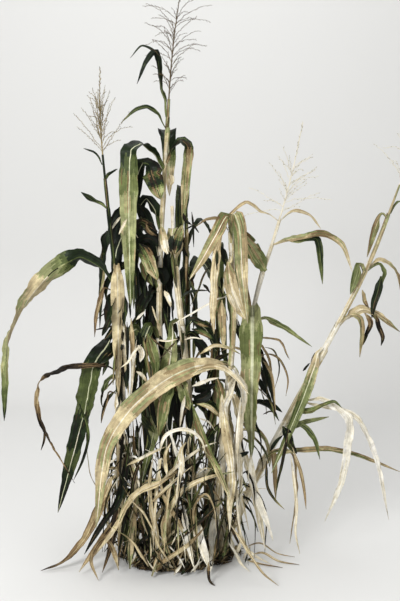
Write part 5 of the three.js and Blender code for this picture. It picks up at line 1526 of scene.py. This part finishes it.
class MAIZE_OT_leaves(MaizeOperator):
    """Grow the leaf blades of each culm"""

    bl_idname = "maize.leaves"
    bl_label = "Leaves"

    def look(self, blade):
        """How a blade is made, from its width, how much of it has died back, and what it gives itself."""
        broad = blade.width > BROAD
        died = blade.dry if blade.dry > SOUND else 0
        crumple = CRUMPLED + CRUMPLED * died if blade.crumple is None else blade.crumple
        rib = broad if blade.rib is None else blade.rib
        return Look(self.sizes.row, BLADE_COLUMNS[broad], self.sizes.sheet, BLADE_STREAK[broad], blade.wave,
                    blade.channel, crumple, blade.dry, rib, blade.midrib)

    def execute(self, context):
        for i, (name, leaves) in enumerate(LEAVES.items()):
            skin = Skin()
            rng = np.random.default_rng(LEAF_SEED + i)
            culm = CULMS[name]
            stalk = stalk_line(culm)
            nodes = []
            for node, blades in leaves.items():
                nodes += SPLIT_NODES.get(node, (node,))
                for blade in blades:
                    collar = stalk.at_height(blade.at * MM)
                    hug = float(stalk_radius(culm, stalk, blade.at * MM)) + COLLAR_GAP
                    put_blade(skin, blade_line(collar, blade), blade.heading, blade.roll, blade.width * MM,
                              blade.tones, rng, self.look(blade), hug)
            for withered in WITHERED.get(name, ()):
                put_withered(skin, withered, stalk, rng, self.sizes)
            put_straps(skin, STRAPS.get(name, ()), rng, self.sizes)
            dressed = name.replace("_culm", "_leaves_dressed")
            skin.piece(dressed, leaf_finishes(self.colours), nodes)
        return {"FINISHED"}


class MAIZE_OT_low_leaves(MaizeOperator):
    """Grow the tangle of low leaves from its tillers"""

    bl_idname = "maize.low_leaves"
    bl_label = "Low leaves"

    def execute(self, context):
        shares = np.linspace(0, 1, 24)
        look = Look(self.sizes.low_row, 2, self.sizes.sheet, streak=0.07, wave=0.35, channel=0.35,
                    crumple=0.14, dry=0.6)
        for i, (name, mass) in enumerate(MASSES.items()):
            skin = Skin()
            rng = np.random.default_rng(LOW_SEED + i)
            tiller = mass_tiller(mass)
            put_tube(skin, tiller.at(shares), mix(*MASS_STEM_RADIUS, shares) * MM, 8,
                     tone_slot(0.45 + 0.2 * np.sin(shares * 20), False))
            for blade in mass_leaves(mass):
                collar = tiller.at_height(blade.at * MM)
                turn = rng.uniform(-12, 12)
                tone = rng.choice(LOW_TONES)
                marks = [(out * rng.uniform(0.7, 1), height) for out, height in blade.marks]
                blade = blade._replace(marks=marks)
                put_blade(skin, blade_line(collar, blade), blade.heading + turn, turning(rng, 30),
                          blade.width * rng.uniform(0.35, 0.6) * MM,
                          [tone, tone + rng.uniform(-0.1, 0.15), tone + rng.uniform(-0.1, 0.1)], rng, look)
            put_tangle(skin, mass, tiller, rng, self.sizes)
            put_straps(skin, STRAPS.get(name, ()), rng, self.sizes)
            skin.piece(name + "_dressed", leaf_finishes(self.colours), [name])
        return {"FINISHED"}


class MAIZE_OT_crown(MaizeOperator):
    """Mat the crown with dead sheaths and fibres"""

    bl_idname = "maize.crown"
    bl_label = "Crown"

    def execute(self, context):
        skin = Skin()
        rng = np.random.default_rng(CROWN_SEED)
        put_mat(skin, rng)
        for _ in range(self.sizes.crown_straps):
            put_fibre(skin, rng)
        names = ("crown_dark", "crown_brown", "crown_tan")
        skin.piece("crown_mat", finishes(self.colours, names, CROWN_FINISH), ["crown"])
        return {"FINISHED"}


class MAIZE_OT_tassels(MaizeOperator):
    """Grow the four tassels"""

    bl_idname = "maize.tassels"
    bl_label = "Tassels"

    def execute(self, context):
        names = ("tassel_pale", "tassel_tan", "tassel_brown", "tassel_dark")
        for i, (name, tassel) in enumerate(TASSELS.items()):
            skin = Skin()
            rng = np.random.default_rng(TASSEL_SEED + i)
            put_tassel(skin, tassel, CULMS[tassel.on], rng, self.sizes.tassel_rounds)
            skin.piece(name + "_dressed", finishes(self.colours, names, TASSEL_FINISH), [name])
        return {"FINISHED"}


# The studio, in metres: a paper floor that bends up into a backdrop, pale air, and three soft lamps, each
# with its place, what it looks at, its size and its power.
FLOOR_SIDE = 6.0
FLOOR_FRONT = -4.0
BEND_FROM, BEND_RADIUS, BEND_STEPS = 2.0, 0.8, 24
BACKDROP_TOP = 5.0
PAPER_COLOUR, PAPER_ROUGHNESS, PAPER_SPECULAR = (0.7, 0.7, 0.69, 1), 0.95, 0.1
AIR_COLOUR, AIR_STRENGTH = (1.0, 0.99, 0.97, 1), 0.36
LAMPS = {
    "key": ((-2.0, -3.6, 2.6), (0, 0, 0.6), 1.6, 195),
    "fill": ((3.2, -3.0, 2.0), (0, 0, 0.7), 3.0, 36),
    "top": ((0.0, 0.6, 4.2), (0, 0, 0.6), 3.0, 80),
}

# The camera as the photograph has it: its place, how far it looks down, and its lens, for which the picture
# is 601 pixels high and 900 pixels away.
CAMERA_PLACE = (0.07134, -2.8, 1.168)
CAMERA_DOWN = 6.79
PICTURE_HEIGHT, PICTURE_AWAY = 601.0, 900.0
SENSOR = 36.0


def studio_paper():
    """Pale paper whose back is clear, so the plant can be seen from behind too."""
    paper = bpy.data.materials.new("studio_paper")
    paper.use_nodes = True
    tree = paper.node_tree
    shader = tree.nodes["Principled BSDF"]
    shader.inputs["Base Color"].default_value = PAPER_COLOUR
    shader.inputs["Roughness"].default_value = PAPER_ROUGHNESS
    shader.inputs["Specular IOR Level"].default_value = PAPER_SPECULAR
    sides = add(tree, "NewGeometry")
    clear = add(tree, "BsdfTransparent")
    feeds = {0: sides.outputs["Backfacing"], 1: shader.outputs[0], 2: clear.outputs[0]}
    blend = add(tree, "MixShader", feeds)
    tree.links.new(blend.outputs[0], tree.nodes["Material Output"].inputs["Surface"])
    return paper


def studio_floor(scene):
    """The floor and backdrop, one sheet of paper."""
    rows = [(FLOOR_FRONT, 0.0)]
    for i in range(BEND_STEPS + 1):
        turn = math.pi / 2 * i / BEND_STEPS
        rows.append((BEND_FROM + BEND_RADIUS * math.sin(turn), BEND_RADIUS - BEND_RADIUS * math.cos(turn)))
    rows.append((BEND_FROM + BEND_RADIUS, BACKDROP_TOP))
    points = [(x, y, z) for y, z in rows for x in (-FLOOR_SIDE, FLOOR_SIDE)]
    faces = [(2 * i, 2 * i + 1, 2 * i + 3, 2 * i + 2) for i in range(len(rows) - 1)]
    mesh = bpy.data.meshes.new("studio_floor")
    mesh.from_pydata(points, [], faces)
    mesh.polygons.foreach_set("use_smooth", [True] * len(faces))
    mesh.materials.append(studio_paper())
    floor = bpy.data.objects.new("studio_floor", mesh)
    scene.collection.objects.link(floor)


def studio_light(scene):
    """The pale air and the lamps."""
    world = bpy.data.worlds.new("studio_air")
    world.use_nodes = True
    air = world.node_tree.nodes["Background"]
    air.inputs["Color"].default_value = AIR_COLOUR
    air.inputs["Strength"].default_value = AIR_STRENGTH
    scene.world = world
    for name, (place, aim, size, power) in LAMPS.items():
        lamp = bpy.data.lights.new(name, "AREA")
        lamp.size = size
        lamp.energy = power
        thing = bpy.data.objects.new(name, lamp)
        scene.collection.objects.link(thing)
        thing.location = place
        way = np.array(aim) - np.array(place)
        flat = math.hypot(way[0], way[1])
        thing.rotation_euler = (math.atan2(flat, -way[2]), 0, math.atan2(way[1], way[0]) - math.pi / 2)


def studio_camera(scene):
    """The camera at the photograph's viewing angle."""
    lens = bpy.data.cameras.new("camera")
    lens.sensor_width = SENSOR
    lens.lens = PICTURE_AWAY * SENSOR / PICTURE_HEIGHT
    camera = bpy.data.objects.new("camera", lens)
    scene.collection.objects.link(camera)
    camera.location = CAMERA_PLACE
    camera.rotation_euler = (math.radians(90 - CAMERA_DOWN), 0, 0)
    scene.camera = camera
    scene.view_settings.view_transform = "Standard"


class MAIZE_OT_studio(MaizeOperator):
    """Set up the pale floor, the soft light and the camera"""

    bl_idname = "maize.studio"
    bl_label = "Studio"

    def execute(self, context):
        studio_floor(context.scene)
        studio_light(context.scene)
        studio_camera(context.scene)
        return {"FINISHED"}


STEPS = (MAIZE_OT_studio, MAIZE_OT_culms, MAIZE_OT_leaves, MAIZE_OT_low_leaves, MAIZE_OT_crown,
         MAIZE_OT_tassels)


class MAIZE_PT_panel(bpy.types.Panel):
    """Sizes, colours and the steps that grow the plant"""

    bl_idname = "MAIZE_PT_panel"
    bl_label = "Maize plant"
    bl_space_type = "VIEW_3D"
    bl_region_type = "UI"
    bl_category = "Maize"

    def draw(self, context):
        layout = self.layout
        for settings in (context.scene.maize_sizes, context.scene.maize_colours):
            box = layout.box()
            for name in settings.__annotations__:
                box.prop(settings, name)
        for step in STEPS:
            layout.operator(step.bl_idname)


CLASSES = (MaizeColours, MaizeSizes, *STEPS, MAIZE_PT_panel)


def register():
    for part in CLASSES:
        bpy.utils.register_class(part)
    bpy.types.Scene.maize_colours = bpy.props.PointerProperty(type=MaizeColours)
    bpy.types.Scene.maize_sizes = bpy.props.PointerProperty(type=MaizeSizes)


def unregister():
    del bpy.types.Scene.maize_sizes
    del bpy.types.Scene.maize_colours
    for part in reversed(CLASSES):
        bpy.utils.unregister_class(part)


def main():
    register()
    bpy.ops.maize.studio()
    bpy.ops.maize.culms()
    bpy.ops.maize.leaves()
    bpy.ops.maize.low_leaves()
    bpy.ops.maize.crown()
    bpy.ops.maize.tassels()


if __name__ == "__main__":
    main()
